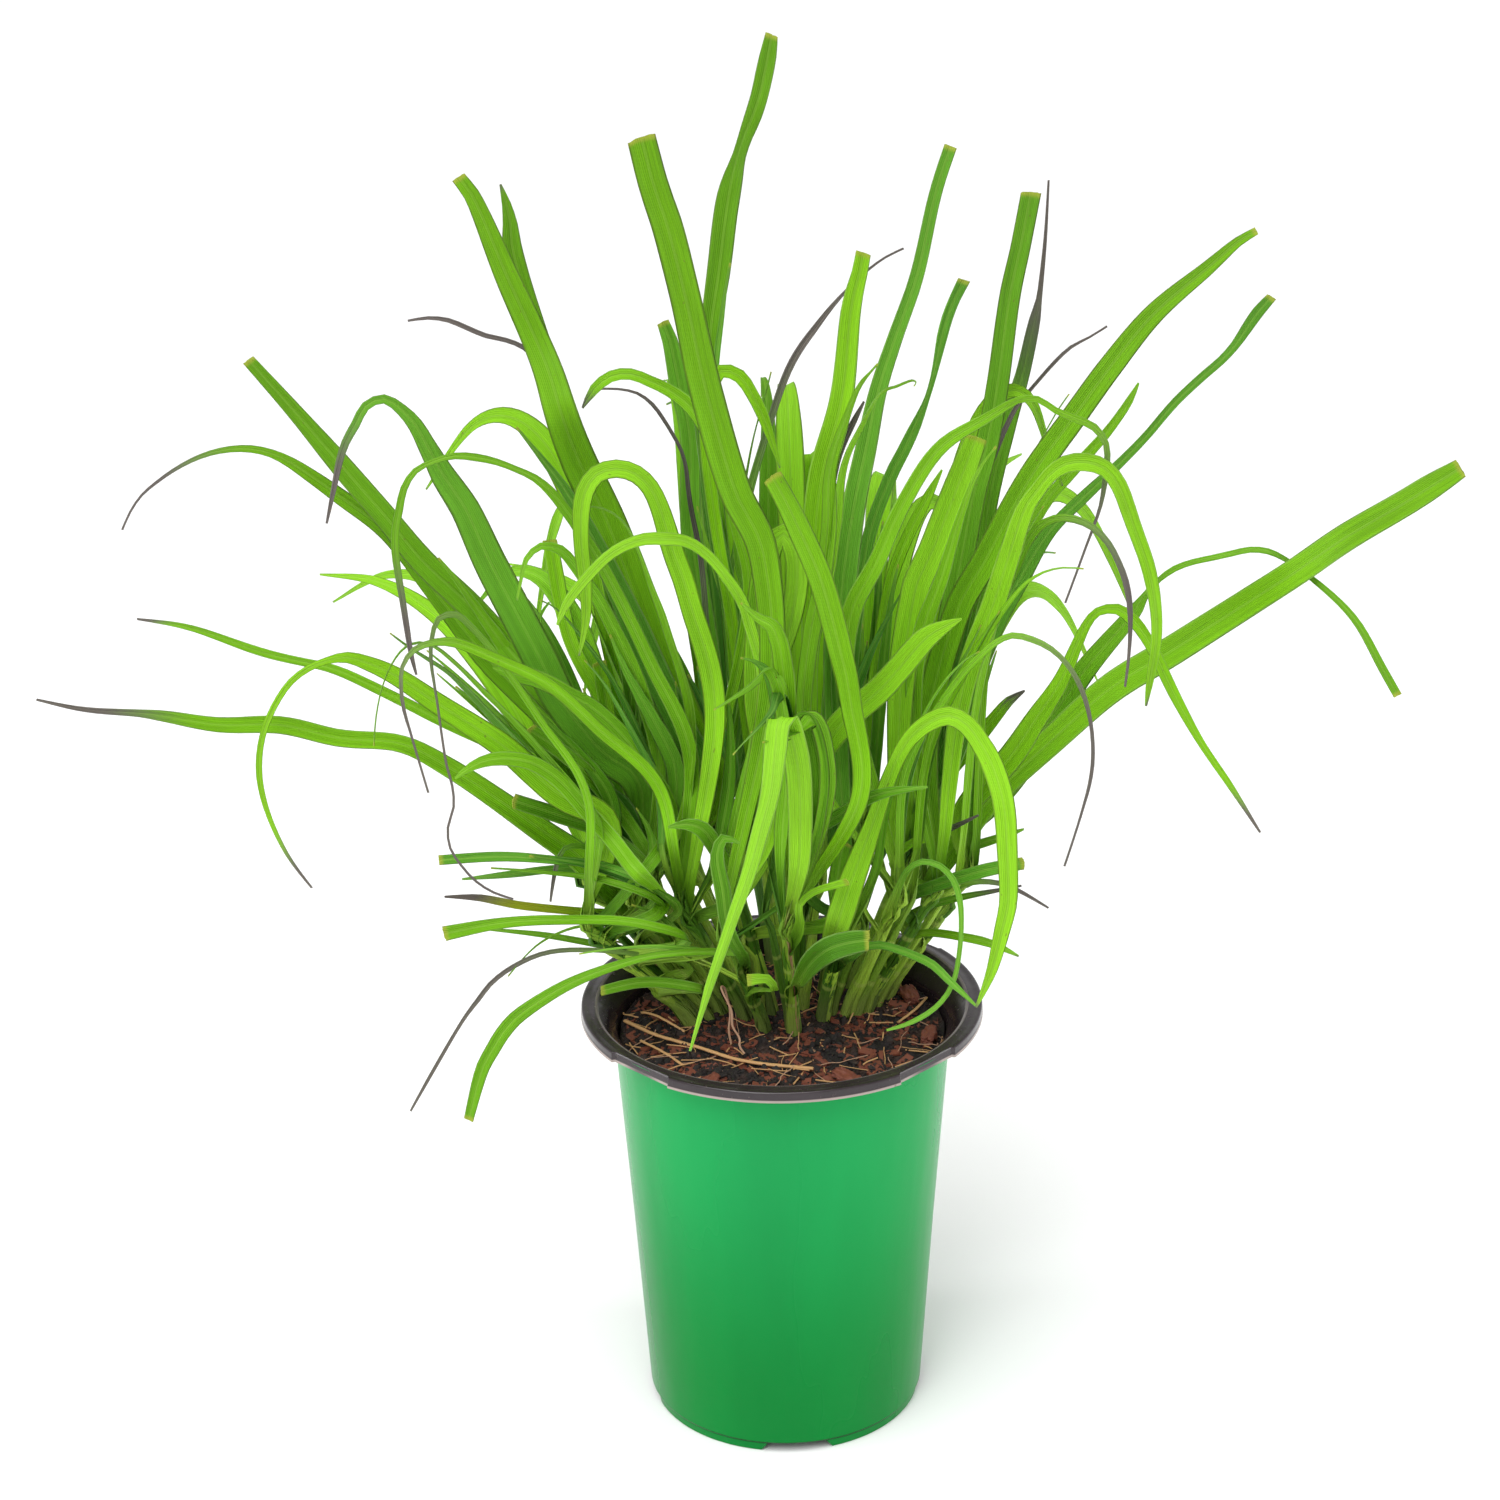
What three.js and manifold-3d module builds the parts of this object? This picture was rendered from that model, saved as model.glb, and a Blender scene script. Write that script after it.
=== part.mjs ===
// A clump of lemongrass in its nursery pot: pot, potting mix, leafy stems and the loose litter on the mix.
// Millimetres, +Z up, origin on the pot's axis at the level it stands on, and -Y is the front.
import * as THREE from "three";
import { mergeVertices } from "three/addons/utils/BufferGeometryUtils.js";
import Module from "manifold-3d";

const wasm = await Module();
wasm.setup();

// Corners closer than this are one corner.
const MERGE = 1e-3;

// Pot, a thin-walled thermoformed nursery pot.
const RIM_RADIUS = 82.5;
const RIM_INNER_RADIUS = 76.2;
const POT_HEIGHT = 182.2;
const SKIRT = 4.6;
const SHOULDER_RADIUS = 69.6;
const SHOULDER_HEIGHT = 173;
const FOOT_RADIUS = 56.6;
const FOOT_HEIGHT = 4.6;
const STEP_OUT = 1.3;
const WALL = 1.6;
const POT_SIDES = 44;
const NOTCH_TURN = 4;
const NOTCH_WIDTH = 27;
const NOTCH_FLARE = 1.5;
const NOTCH_HEIGHT = 4;
const FLAT_TURN = 45;
const FLAT_HALF_WIDTH = 15.7;
const FLAT_DISTANCE = 79.8;
const DRAIN_RADIUS = 5;
const DRAIN_CIRCLE = 38;

// Potting mix.
const MIX_LEVEL = 168;
const MIX_GAP = 0.5;
const MIX_MOUND = 3;
const MIX_MOUND_RADIUS = 34;
const MIX_WAVE = 0.8;
const MIX_RINGS = 3;
const MIX_SIDES = 22;

// Stalks: the rolled leaf sheaths that stand in holes in the mix.
const STALK_LENGTH = 72;
const STALK_RADIUS = 3.1;
const STALK_SHARES = [0.3, 0.55, 0.8, 1];
const STALK_RADII = [3.1, 3.1, 2.9, 2.6, 2.3, 1.9];
const STALK_SIDES = 7;
const STALK_DEPTH = 9;
const HOLE_GAP = 0.4;
const CLUMP_CENTRE_X = 8;
const CLUMP_CENTRE_Y = 25;
const LEAN_X = 0.018;
const LEAN_Y = 0.016;

// Blades.
const BLADE_THICKNESS = 1.2;
const BLADE_FOLD = 0.34;
const SAMPLE_STEP = 8;
const STATION_TURN = 0.6;
const STATION_LENGTH = 80;
const BASE_WIDTH = 3.8;
const LEAST_WIDTH = 0.9;
// A leaf leaves its stalk this far below its first point, between these shares of the stalk's length.
const BASE_DROP = 14;
const BASE_LOWEST = 0.3;
const BASE_HIGHEST = 0.97;
const BASE_ORDER = 0.05;
const BASE_INSIDE = 0.14;

// Crossing blades part along this line, the one with the greater depth going back.
const DEPTH_ANGLE = 0.389;
const DEPTH = new THREE.Vector3(0, Math.cos(DEPTH_ANGLE), -Math.sin(DEPTH_ANGLE));
const CLEARANCE = 2.6;
const KIN_FROM = 30;
const FREE_FROM = 14;
const FREE_AT = 60;
const PARTING_ROUNDS = 160;

// Where each stalk stands, [x, y].
const STALKS = [
  [-7, -3], [5, -5], [-15, 8], [17, 6], [27, 9], [35, 15], [-25, 15], [-35, 22], [-4, 11], [8, 16],
  [-37, 8], [43, 26], [-13, 25], [1, 30], [18, 26], [30, 31], [-25, 33], [-39, 37], [-9, 43],
  [8, 45], [22, 46], [-22, 50], [38, 44], [-3, 60], [13, 62],
];

// The camera that the leaves are traced through, whose picture is PICTURE units wide and high: its place,
// its downward pitch, its roll, and its focal length in the same units.
const PICTURE = 1500;
const CAMERA = new THREE.Vector3(-11.534, -1248.74, 804.697);
const CAMERA_PITCH = 0.389066;
const CAMERA_ROLL = -0.0146038;
const FOCAL = 3381;
const MIDDLE = new THREE.Vector2(PICTURE / 2, PICTURE / 2);
const FORWARD = new THREE.Vector3(0, Math.cos(CAMERA_PITCH), -Math.sin(CAMERA_PITCH));
const RIGHT = new THREE.Vector3(1, 0, 0);
const UP = new THREE.Vector3().crossVectors(RIGHT, FORWARD);
// How a leaf's depth changes along it: 1 is evenly, and more is later.
const DEPTH_BEND = 1.15;

// Leaves, traced by hand, [name, stalk, depth at its start, depth at its tip, end, points]. Depths are y in
// millimetres, and a leaf with no depth at its start takes its stalk's. Each point is [across, down, width,
// twist in degrees] in the picture's units, from stalk to tip. A "cut" leaf ends at its full width, and a
// "tip" runs out to a point.
const TRACES = [
  ["A", 12, null, 75, "cut", [[745, 700, 16], [722, 560, 18], [708, 430, 20], [711, 340, 20],
    [720, 270, 24], [727, 200, 24], [739, 150, 18, 45], [757, 105, 18], [768, 60, 17], [773, 34, 13]]],
  ["B", 0, null, -55, "cut", [[770, 700, 24], [765, 560, 30], [735, 490, 34], [706, 388, 34],
    [688, 305, 32], [668, 233, 31], [654, 185, 30], [642, 137, 29]]],
  ["C", 6, null, 20, "cut", [[716, 800, 30], [690, 735, 42], [655, 650, 44], [610, 530, 40],
    [575, 450, 36], [545, 365, 30], [506, 275, 24], [474, 200, 17], [459, 177, 14]]],
  ["E", 16, null, 60, "tip", [[670, 760, 16], [625, 600, 20], [570, 430, 22], [528, 300, 20],
    [514, 250, 20], [508, 215, 12], [501, 183, 2]]],
  ["F", 17, null, 40, "tip", [[640, 700, 9], [590, 520, 8], [556, 400, 7], [528, 351, 5], [480, 333, 5],
    [455, 323, 5], [430, 318, 4], [408, 320, 2]]],
  ["A2", 18, null, 70, "cut", [[715, 700, 20], [692, 540, 22], [690, 440, 20], [680, 385, 20],
    [670, 345, 16], [662, 322, 12]]],
  ["I", 13, null, 20, "tip", [[735, 640, 12], [716, 520, 13], [706, 430, 14], [712, 385, 14],
    [725, 370, 14], [740, 377, 14], [752, 392, 13], [765, 420, 11], [780, 468, 5]]],
  ["J", 1, null, -60, "cut", [[858, 800, 18], [850, 700, 22], [840, 650, 25], [820, 580, 25],
    [800, 530, 24], [785, 500, 22], [772, 477, 20]]],
  ["I2", 9, null, 30, "cut", [[812, 700, 24], [815, 560, 26], [822, 480, 28], [840, 400, 24],
    [850, 310, 20], [858, 280, 17], [863, 253, 15]]],
  ["K", 3, null, 25, "cut", [[838, 720, 24], [840, 600, 30], [853, 510, 24], [867, 450, 22],
    [878, 390, 18], [895, 335, 16], [918, 275, 14], [934, 195, 13], [951, 147, 13]]],
  ["L", 14, null, 60, "cut", [[850, 680, 14], [866, 555, 14], [887, 485, 14], [910, 440, 12],
    [928, 390, 9, 50], [945, 330, 11], [955, 300, 11], [965, 280, 12]]],
  ["M", 15, null, 50, "cut", [[930, 720, 22], [960, 570, 26], [973, 500, 25], [988, 440, 24],
    [998, 380, 22], [1010, 300, 21], [1020, 250, 20], [1030, 193, 20]]],
  ["N", 20, null, 75, "tip", [[965, 640, 14], [990, 500, 18], [1008, 425, 18], [1022, 375, 15],
    [1033, 325, 12], [1039, 300, 6], [1045, 240, 4], [1048, 179, 2]]],
  ["O", 22, null, 50, "tip", [[950, 620, 8], [985, 480, 7], [1015, 412, 5], [1035, 385, 4],
    [1065, 350, 4], [1085, 340, 3], [1107, 327, 2]]],
  ["P", 4, null, -30, "tip", [[850, 700, 18], [850, 620, 20], [875, 565, 18], [905, 500, 16],
    [940, 450, 14], [985, 418, 11], [1020, 398, 8, 40], [1035, 399, 6], [1063, 415, 7], [1092, 425, 8],
    [1107, 445, 6], [1108, 470, 6], [1100, 505, 4], [1088, 545, 3], [1065, 603, 2]]],
  ["Q", 5, null, 15, "cut", [[925, 740, 26], [955, 620, 28], [985, 560, 28], [1030, 480, 27],
    [1075, 415, 26], [1112, 365, 24], [1155, 312, 20], [1210, 265, 14], [1235, 245, 10], [1256, 230, 8]]],
  ["R", 20, null, 90, "tip", [[990, 610, 12], [1040, 510, 12], [1075, 470, 12], [1108, 430, 10],
    [1130, 398, 7], [1139, 382, 2]]],
  ["S", 15, null, 65, "cut", [[985, 650, 18], [1020, 580, 20], [1050, 530, 14], [1085, 495, 12],
    [1112, 470, 10], [1145, 437, 9], [1175, 402, 8], [1205, 375, 9], [1225, 355, 9], [1240, 338, 10],
    [1255, 318, 12], [1271, 297, 10]]],
  ["T", 5, null, -45, "tip", [[960, 700, 22], [995, 600, 24], [1020, 520, 20], [1035, 495, 16],
    [1050, 475, 16], [1070, 464, 18], [1090, 463, 18], [1105, 470, 17], [1118, 485, 17], [1133, 525, 16],
    [1148, 570, 15], [1153, 620, 12], [1149, 680, 8], [1145, 705, 3]]],
  ["U", 11, null, -70, "tip", [[985, 660, 10], [1020, 560, 10], [1040, 527, 9], [1060, 517, 8],
    [1080, 520, 8], [1100, 535, 7], [1118, 560, 7], [1130, 595, 6], [1133, 640, 4], [1127, 687, 2]]],
  ["V", 11, null, -60, "tip", [[960, 820, 22], [1010, 760, 26], [1035, 720, 22], [1062, 680, 16],
    [1078, 640, 12], [1095, 614, 9], [1112, 609, 10], [1130, 615, 13], [1150, 645, 12], [1172, 690, 11],
    [1200, 740, 8], [1230, 785, 6], [1260, 832, 2]]],
  ["W", 22, null, 10, "cut", [[960, 830, 26], [1010, 780, 30], [1060, 705, 26], [1090, 665, 22],
    [1130, 615, 16], [1150, 588, 9, 50], [1180, 567, 6], [1225, 555, 6], [1250, 549, 6], [1275, 551, 6],
    [1300, 561, 5], [1327, 583, 6], [1355, 620, 8], [1380, 665, 9], [1399, 696, 8]]],
  ["X", 11, null, 60, "cut", [[930, 890, 22], [960, 840, 24], [1000, 790, 26], [1050, 740, 28],
    [1110, 690, 30], [1170, 652, 30], [1230, 612, 29], [1285, 577, 28], [1340, 540, 28], [1400, 505, 27],
    [1430, 487, 25], [1461, 469, 19]]],
  ["R9", 4, null, -80, "tip", [[905, 780, 9], [950, 690, 8], [1000, 640, 7], [1020, 637, 6],
    [1040, 643, 6], [1060, 657, 5], [1080, 685, 5], [1092, 725, 4], [1092, 770, 4], [1080, 820, 3],
    [1065, 866, 2]]],
  ["R13", 14, null, 20, "tip", [[835, 640, 10], [826, 540, 9], [828, 500, 9], [840, 455, 8],
    [855, 420, 6], [865, 400, 2]]],
  ["R15", 13, null, 40, "tip", [[765, 660, 10], [738, 560, 10], [748, 500, 9], [765, 440, 8],
    [785, 380, 8], [800, 350, 7], [820, 322, 6], [840, 298, 4], [875, 264, 3], [903, 248, 2]]],
  ["R17", 14, null, 30, "tip", [[875, 680, 12], [888, 590, 12], [905, 545, 12], [925, 505, 11],
    [942, 470, 4]]],
  ["R18", 4, null, -5, "cut", [[900, 700, 26], [915, 590, 30], [930, 560, 30], [945, 520, 30],
    [960, 480, 28], [977, 436, 22]]],
  ["AA", 7, null, 30, "cut", [[640, 800, 26], [590, 735, 30], [545, 690, 29], [475, 610, 28],
    [425, 562, 26], [385, 515, 24], [340, 465, 22], [295, 412, 16], [248, 360, 12]]],
  ["BB", 17, null, 15, "tip", [[610, 780, 26], [560, 730, 26], [490, 660, 24], [440, 600, 20],
    [390, 535, 18], [340, 497, 16], [300, 467, 12], [275, 455, 9], [250, 450, 7], [225, 450, 6],
    [200, 456, 5], [170, 472, 4], [138, 498, 3], [121, 530, 2]]],
  ["DD", 6, null, -35, "tip", [[640, 790, 32], [600, 750, 36], [560, 700, 36], [540, 660, 36],
    [515, 610, 34], [490, 560, 34], [465, 510, 30], [445, 480, 26], [430, 450, 20], [412, 420, 14],
    [395, 405, 10], [380, 399, 9], [366, 405, 9], [354, 425, 9], [343, 450, 8], [333, 490, 5],
    [328, 524, 2]]],
  ["EE", 2, null, -60, "tip", [[690, 760, 16], [650, 660, 14], [610, 580, 13], [575, 525, 12],
    [545, 485, 9], [525, 475, 6], [500, 464, 6], [475, 457, 8], [455, 456, 7], [430, 463, 6],
    [410, 478, 6], [398, 510, 8], [396, 545, 8], [402, 600, 7], [410, 650, 5], [416, 674, 2]]],
  ["FF", 17, null, 50, "tip", [[600, 800, 18], [560, 775, 16], [530, 757, 14], [500, 748, 12],
    [445, 722, 11], [400, 700, 11], [340, 672, 10], [310, 664, 9], [280, 657, 9], [250, 647, 9],
    [190, 628, 6], [137, 620, 3]]],
  ["GG", 10, null, -70, "tip", [[610, 830, 26], [560, 795, 28], [530, 770, 27], [500, 745, 26],
    [440, 705, 22], [390, 672, 18], [350, 658, 12], [330, 659, 8, 30], [300, 673, 6], [280, 695, 6],
    [263, 735, 6], [259, 775, 6], [268, 815, 5], [288, 856, 4], [312, 888, 2]]],
  ["HH", 7, null, -75, "tip", [[640, 920, 28], [580, 860, 28], [550, 838, 26], [500, 800, 22],
    [450, 768, 20], [400, 743, 18], [340, 737, 18], [280, 726, 18], [220, 724, 15], [165, 717, 12],
    [140, 712, 8], [85, 708, 5], [36, 700, 3]]],
  ["II", 2, null, -75, "tip", [[660, 790, 14], [600, 730, 13], [550, 685, 13], [500, 660, 12],
    [460, 643, 10], [440, 643, 8], [420, 648, 7], [408, 657, 5], [402, 675, 4], [404, 703, 4],
    [412, 735, 3], [429, 792, 2]]],
  ["JJ", 10, null, -85, "tip", [[590, 800, 9], [540, 720, 8], [490, 650, 7], [465, 622, 7],
    [447, 612, 6], [435, 625, 5], [431, 655, 4], [436, 700, 3], [447, 760, 3], [455, 800, 3],
    [448, 835, 2], [460, 865, 2], [485, 887, 2], [513, 899, 1]]],
  ["G", 12, null, -15, "tip", [[748, 620, 12], [735, 520, 13], [715, 450, 14], [695, 410, 14],
    [672, 393, 13], [650, 382, 12], [628, 374, 12], [610, 375, 12], [595, 383, 12], [580, 402, 4]]],
  ["G2", 18, null, 10, "tip", [[705, 600, 6], [690, 500, 5], [683, 455, 4], [668, 425, 4], [650, 403, 4],
    [630, 391, 3], [598, 389, 2]]],
  ["H", 2, null, -45, "tip", [[715, 720, 22], [690, 600, 22], [672, 550, 22], [662, 510, 20],
    [650, 488, 19], [630, 470, 19], [608, 469, 19], [592, 478, 19], [583, 500, 18], [581, 540, 16],
    [584, 580, 14], [587, 620, 9], [580, 656, 2]]],
  ["M1", 16, null, 60, "cut", [[650, 760, 12], [610, 710, 14], [575, 650, 14], [562, 600, 16],
    [555, 570, 16], [550, 541, 15]]],
  ["M2", 6, null, -40, "tip", [[660, 780, 14], [640, 690, 16], [605, 610, 14], [582, 575, 12],
    [562, 552, 10], [545, 545, 8], [530, 553, 6], [521, 575, 4], [517, 600, 2]]],
  ["M4", 16, null, 10, "tip", [[625, 770, 6], [590, 715, 5], [555, 670, 5], [542, 640, 5], [541, 615, 4],
    [550, 603, 2]]],
  ["M5", 16, null, 30, "cut", [[640, 800, 14], [612, 740, 16], [605, 700, 16], [598, 661, 15]]],
  ["M6", 8, null, -60, "tip", [[765, 720, 12], [748, 615, 12], [730, 585, 12], [715, 562, 11],
    [690, 543, 12], [660, 538, 13], [635, 542, 12], [610, 555, 11], [585, 578, 11], [568, 602, 9],
    [558, 624, 3]]],
  ["M8", 10, null, -20, "tip", [[670, 830, 16], [640, 760, 18], [600, 715, 18], [570, 695, 18],
    [540, 680, 18], [515, 674, 17], [492, 668, 14]]],
  ["M9", 6, null, -25, "cut", [[650, 860, 14], [600, 790, 16], [565, 755, 16], [529, 730, 15]]],
  ["M10", 6, null, -30, "cut", [[650, 870, 15], [600, 832, 16], [560, 818, 16], [512, 802, 15]]],
  ["M11", 10, null, -40, "tip", [[665, 905, 16], [630, 860, 18], [590, 815, 17], [560, 782, 16],
    [530, 762, 15], [500, 758, 14], [475, 765, 10], [456, 778, 4]]],
  ["L1", 10, null, -30, "cut", [[660, 895, 9], [620, 870, 9], [555, 861, 9], [500, 857, 10],
    [438, 861, 10]]],
  ["L2", 7, null, 0, "tip", [[660, 880, 9], [620, 871, 9], [560, 870, 8], [510, 875, 7], [463, 879, 3]]],
  ["L3", 17, null, 5, "tip", [[680, 930, 10], [650, 918, 10], [580, 911, 9], [520, 905, 8],
    [480, 899, 7], [445, 896, 2]]],
  ["L4", 10, null, -45, "cut", [[690, 940, 10], [640, 922, 10], [560, 920, 10], [500, 924, 11],
    [444, 933, 15]]],
  ["L5", 17, null, 25, "tip", [[690, 965, 7], [660, 957, 8], [600, 944, 7], [540, 935, 6],
    [480, 929, 3]]],
  ["L6", 10, null, -20, "tip", [[690, 968, 5], [650, 958, 5], [595, 951, 5], [545, 953, 5],
    [500, 976, 5], [480, 998, 5], [460, 1025, 4], [430, 1075, 4], [411, 1111, 2]]],
  ["L7", 0, null, -45, "cut", [[745, 955, 9], [725, 954, 9], [690, 953, 8], [650, 957, 8],
    [600, 970, 10], [560, 990, 12], [515, 1020, 15], [495, 1045, 15], [482, 1070, 14], [468, 1121, 10]]],
  ["L8", 10, null, -25, "cut", [[705, 990, 9], [665, 982, 11], [635, 983, 11], [600, 990, 10]]],
  ["KK", 6, null, -35, "tip", [[640, 880, 6], [590, 850, 6], [565, 848, 5], [553, 868, 5],
    [548, 903, 2]]],
  ["C1", 8, null, -42, "tip", [[766, 800, 20], [757, 700, 24], [757, 640, 26], [762, 585, 26],
    [773, 545, 24], [786, 534, 24], [797, 552, 24], [796, 590, 23], [788, 628, 19], [778, 662, 13],
    [770, 692, 4]]],
  ["C2", 1, null, -150, "tip", [[800, 860, 22], [800, 780, 26], [790, 735, 26], [780, 714, 26],
    [776, 745, 24], [770, 790, 20], [760, 830, 18], [747, 875, 15], [733, 920, 12], [712, 980, 9],
    [700, 1015, 6], [690, 1051, 3]]],
  ["C3", 3, null, -110, "tip", [[830, 940, 26], [845, 900, 28], [860, 860, 24], [875, 820, 18],
    [890, 780, 16], [905, 745, 15], [925, 724, 18], [945, 716, 20], [962, 721, 20], [977, 737, 20],
    [992, 765, 22], [1003, 805, 22], [1008, 850, 21], [1007, 900, 19], [1002, 935, 16], [991, 972, 11],
    [976, 1007, 4]]],
  ["C4", 9, null, -35, "tip", [[798, 900, 22], [795, 850, 24], [795, 810, 26], [805, 775, 27],
    [825, 745, 28], [850, 715, 28], [880, 690, 27], [905, 660, 26], [930, 635, 22], [962, 620, 12]]],
  ["C5", 3, null, -60, "tip", [[812, 900, 12], [800, 860, 14], [808, 835, 14], [840, 815, 14],
    [880, 795, 12], [927, 788, 4]]],
  ["C6", 1, null, -45, "cut", [[800, 930, 8], [800, 905, 8], [815, 893, 8], [847, 882, 8]]],
  ["C7", 8, null, -25, "cut", [[830, 920, 16], [836, 885, 18], [843, 842, 18]]],
  ["C8", 0, null, -40, "tip", [[745, 960, 12], [730, 930, 14], [722, 890, 16], [718, 855, 14],
    [728, 835, 9], [741, 842, 4]]],
  ["C9", 2, null, -35, "tip", [[735, 900, 14], [722, 860, 16], [700, 826, 16], [668, 828, 8]]],
  ["C10", 4, null, -75, "tip", [[893, 905, 7], [905, 870, 6], [925, 862, 6], [944, 870, 6],
    [957, 893, 6], [961, 930, 5], [955, 980, 5], [938, 1006, 5], [915, 1022, 5], [888, 1031, 5]]],
  ["C11", 1, null, -45, "cut", [[798, 985, 14], [812, 960, 24], [835, 945, 26], [868, 939, 20]]],
  ["C12", 3, null, -50, "tip", [[850, 960, 9], [875, 945, 9], [925, 960, 9], [950, 980, 8],
    [975, 1004, 3]]],
  ["C13", 0, null, -38, "cut", [[775, 990, 8], [768, 978, 10], [748, 978, 12]]],
  ["R2", 5, null, -30, "cut", [[905, 905, 12], [940, 885, 14], [985, 870, 14], [1024, 863, 12]]],
  ["R3", 11, null, -10, "tip", [[905, 925, 7], [920, 912, 7], [960, 900, 7], [1022, 885, 3]]],
  ["R4", 11, null, 20, "tip", [[930, 895, 6], [975, 882, 6], [1010, 886, 5], [1049, 908, 2]]],
  ["R6", 5, null, -15, "tip", [[900, 945, 9], [925, 935, 9], [955, 936, 9], [990, 943, 8],
    [1019, 956, 3]]],
  ["R8", 11, null, 0, "tip", [[895, 870, 8], [910, 845, 8], [935, 838, 8], [979, 816, 3]]],
  ["R1", 11, null, 40, "tip", [[930, 880, 10], [965, 852, 10], [1000, 838, 8], [1023, 829, 3]]],
  ["R20", 22, null, 60, "tip", [[940, 790, 14], [980, 735, 14], [1010, 700, 10], [1025, 690, 3]]],
];

// Stalks at the back of the clump, which carry leaves drawn from a seed as well.
const BACK_STALKS = [15, 16, 17, 18, 19, 20, 21, 22, 23, 24];
const BACK_LEAVES_EACH = 2;
const BACK_SEED = 123;
const BACK_POINTS = 5;
const BACK_LIMIT = 150;
const BACK_SPREAD = 0.014;
const BACK_FAN = 0.9;
// Ranges of a back leaf's outward reach, its rise, where along it the highest point is, and its width.
const BACK_REACH = [60, 170];
const BACK_RISE = [70, 190];
const BACK_PEAK = [0.5, 0.9];
const BACK_WIDTH = [8, 13];
const BACK_TWIST = 60;

// Litter on the mix, [name, radius, material, points], each point [x, y, height over the mix].
const LITTER = [
  ["straw_long", 1, "straw", [[-65, 5, 1.5], [-52, -8, 1], [-35, -20, 1], [-15, -32, 1], [12, -40, 1.2]]],
  ["straw_short_1", 0.7, "straw", [[-60, 14, 1], [-52, 4, 3.6], [-40, -4, 1]]],
  ["straw_short_2", 0.7, "straw", [[-58, -12, 1.3], [-48, -24, 1.4], [-40, -34, 1.3]]],
  ["straw_short_3", 0.7, "straw", [[48, 2, 1], [56, 12, 1.4], [61, 24, 1]]],
  ["root_loop", 0.9, "root",
    [[-21, -17, 1.4], [-22, -13, 20], [-24, -15, 26], [-20, -21, 16], [-16, -26, 1.2]]],
];
const LITTER_SIDES = 5;

// Bark chips, [x, y, turn, length, width, height].
const CHIPS = [
  [54, 24, 100, 12, 7, 3],
  [-30, -50, 60, 11, 6, 3],
  [25, -48, 130, 12, 7, 3],
  [60, -12, 80, 12, 6, 3],
];

const GREEN = 0x5aa818;
const DULL_GREEN = 0x6f8f3a;
const materials = {
  pot: new THREE.MeshStandardMaterial({ color: 0x24a654, roughness: 0.35, metalness: 0 }),
  mix: new THREE.MeshStandardMaterial({ color: 0x2a1c16, roughness: 0.95, metalness: 0 }),
  leaf: new THREE.MeshStandardMaterial({ color: GREEN, roughness: 0.5, metalness: 0 }),
  backLeaf: new THREE.MeshStandardMaterial({ color: DULL_GREEN, roughness: 0.5, metalness: 0 }),
  straw: new THREE.MeshStandardMaterial({ color: 0xb98f5e, roughness: 0.8, metalness: 0 }),
  root: new THREE.MeshStandardMaterial({ color: 0xa9836a, roughness: 0.8, metalness: 0 }),
  bark: new THREE.MeshStandardMaterial({ color: 0x6b3a24, roughness: 0.9, metalness: 0 }),
};

const degrees = (angle) => (angle * Math.PI) / 180;
const smoothStep = (value) => {
  const t = Math.min(1, Math.max(0, value));
  return t * t * (3 - 2 * t);
};

// A seeded source of numbers from 0 to 1.
function makeRandom(seed) {
  let state = seed;
  return () => {
    state = (state * 16807) % 2147483647;
    return state / 2147483647;
  };
}

// Solids and geometries.

function solidOf(geometry) {
  const loose = geometry.index ? geometry.toNonIndexed() : geometry;
  const bare = new THREE.BufferGeometry();
  bare.setAttribute("position", loose.getAttribute("position").clone());
  const merged = mergeVertices(bare, MERGE);
  const mesh = new wasm.Mesh({
    numProp: 3,
    vertProperties: merged.attributes.position.array,
    triVerts: new Uint32Array(merged.index.array),
  });
  return new wasm.Manifold(mesh);
}

// The largest body of a solid, with any hollow that joining sealed filled.
function largestBody(solid) {
  const bodies = solid.decompose().filter((body) => body.volume() > 0);
  return bodies.reduce((largest, body) => (body.volume() > largest.volume() ? body : largest));
}

function geometryOf(solid) {
  const mesh = solid.getMesh();
  const positions = new Float32Array(mesh.numVert * 3);
  for (let i = 0; i < mesh.numVert; i++) {
    positions.set(mesh.vertProperties.subarray(i * mesh.numProp, i * mesh.numProp + 3), i * 3);
  }
  const geometry = new THREE.BufferGeometry();
  geometry.setAttribute("position", new THREE.BufferAttribute(positions, 3));
  geometry.setIndex(new THREE.BufferAttribute(new Uint32Array(mesh.triVerts), 1));
  return geometry;
}

// A joined solid put on the grid of corners until it is one body there, with no hollow and no scrap.
function soundSolid(joined) {
  let solid = largestBody(joined);
  for (let round = 0; round < 8; round++) {
    const gridded = solidOf(geometryOf(solid));
    if (gridded.decompose().length === 1) return solid;
    solid = largestBody(gridded);
  }
  return solid;
}

// A closed skin over rings that have the same number of corners, with a fan over each end.
// From side turnedFrom on, the faces are split along their other diagonal.
function loft(rings, turnedFrom = Infinity) {
  const sides = rings[0].length;
  const corners = rings.flat();
  const index = [];
  for (let i = 0; i + 1 < rings.length; i++) {
    for (let j = 0; j < sides; j++) {
      const a = i * sides + j;
      const b = i * sides + ((j + 1) % sides);
      if (j < turnedFrom) index.push(a, b, b + sides, a, b + sides, a + sides);
      else index.push(a, b, a + sides, b, b + sides, a + sides);
    }
  }
  const last = (rings.length - 1) * sides;
  for (let j = 1; j + 1 < sides; j++) {
    index.push(0, j + 1, j, last, last + j, last + j + 1);
  }
  const positions = corners.flatMap((corner) => corner.toArray());
  const geometry = new THREE.BufferGeometry();
  geometry.setAttribute("position", new THREE.Float32BufferAttribute(positions, 3));
  geometry.setIndex(index);
  return geometry;
}

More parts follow.
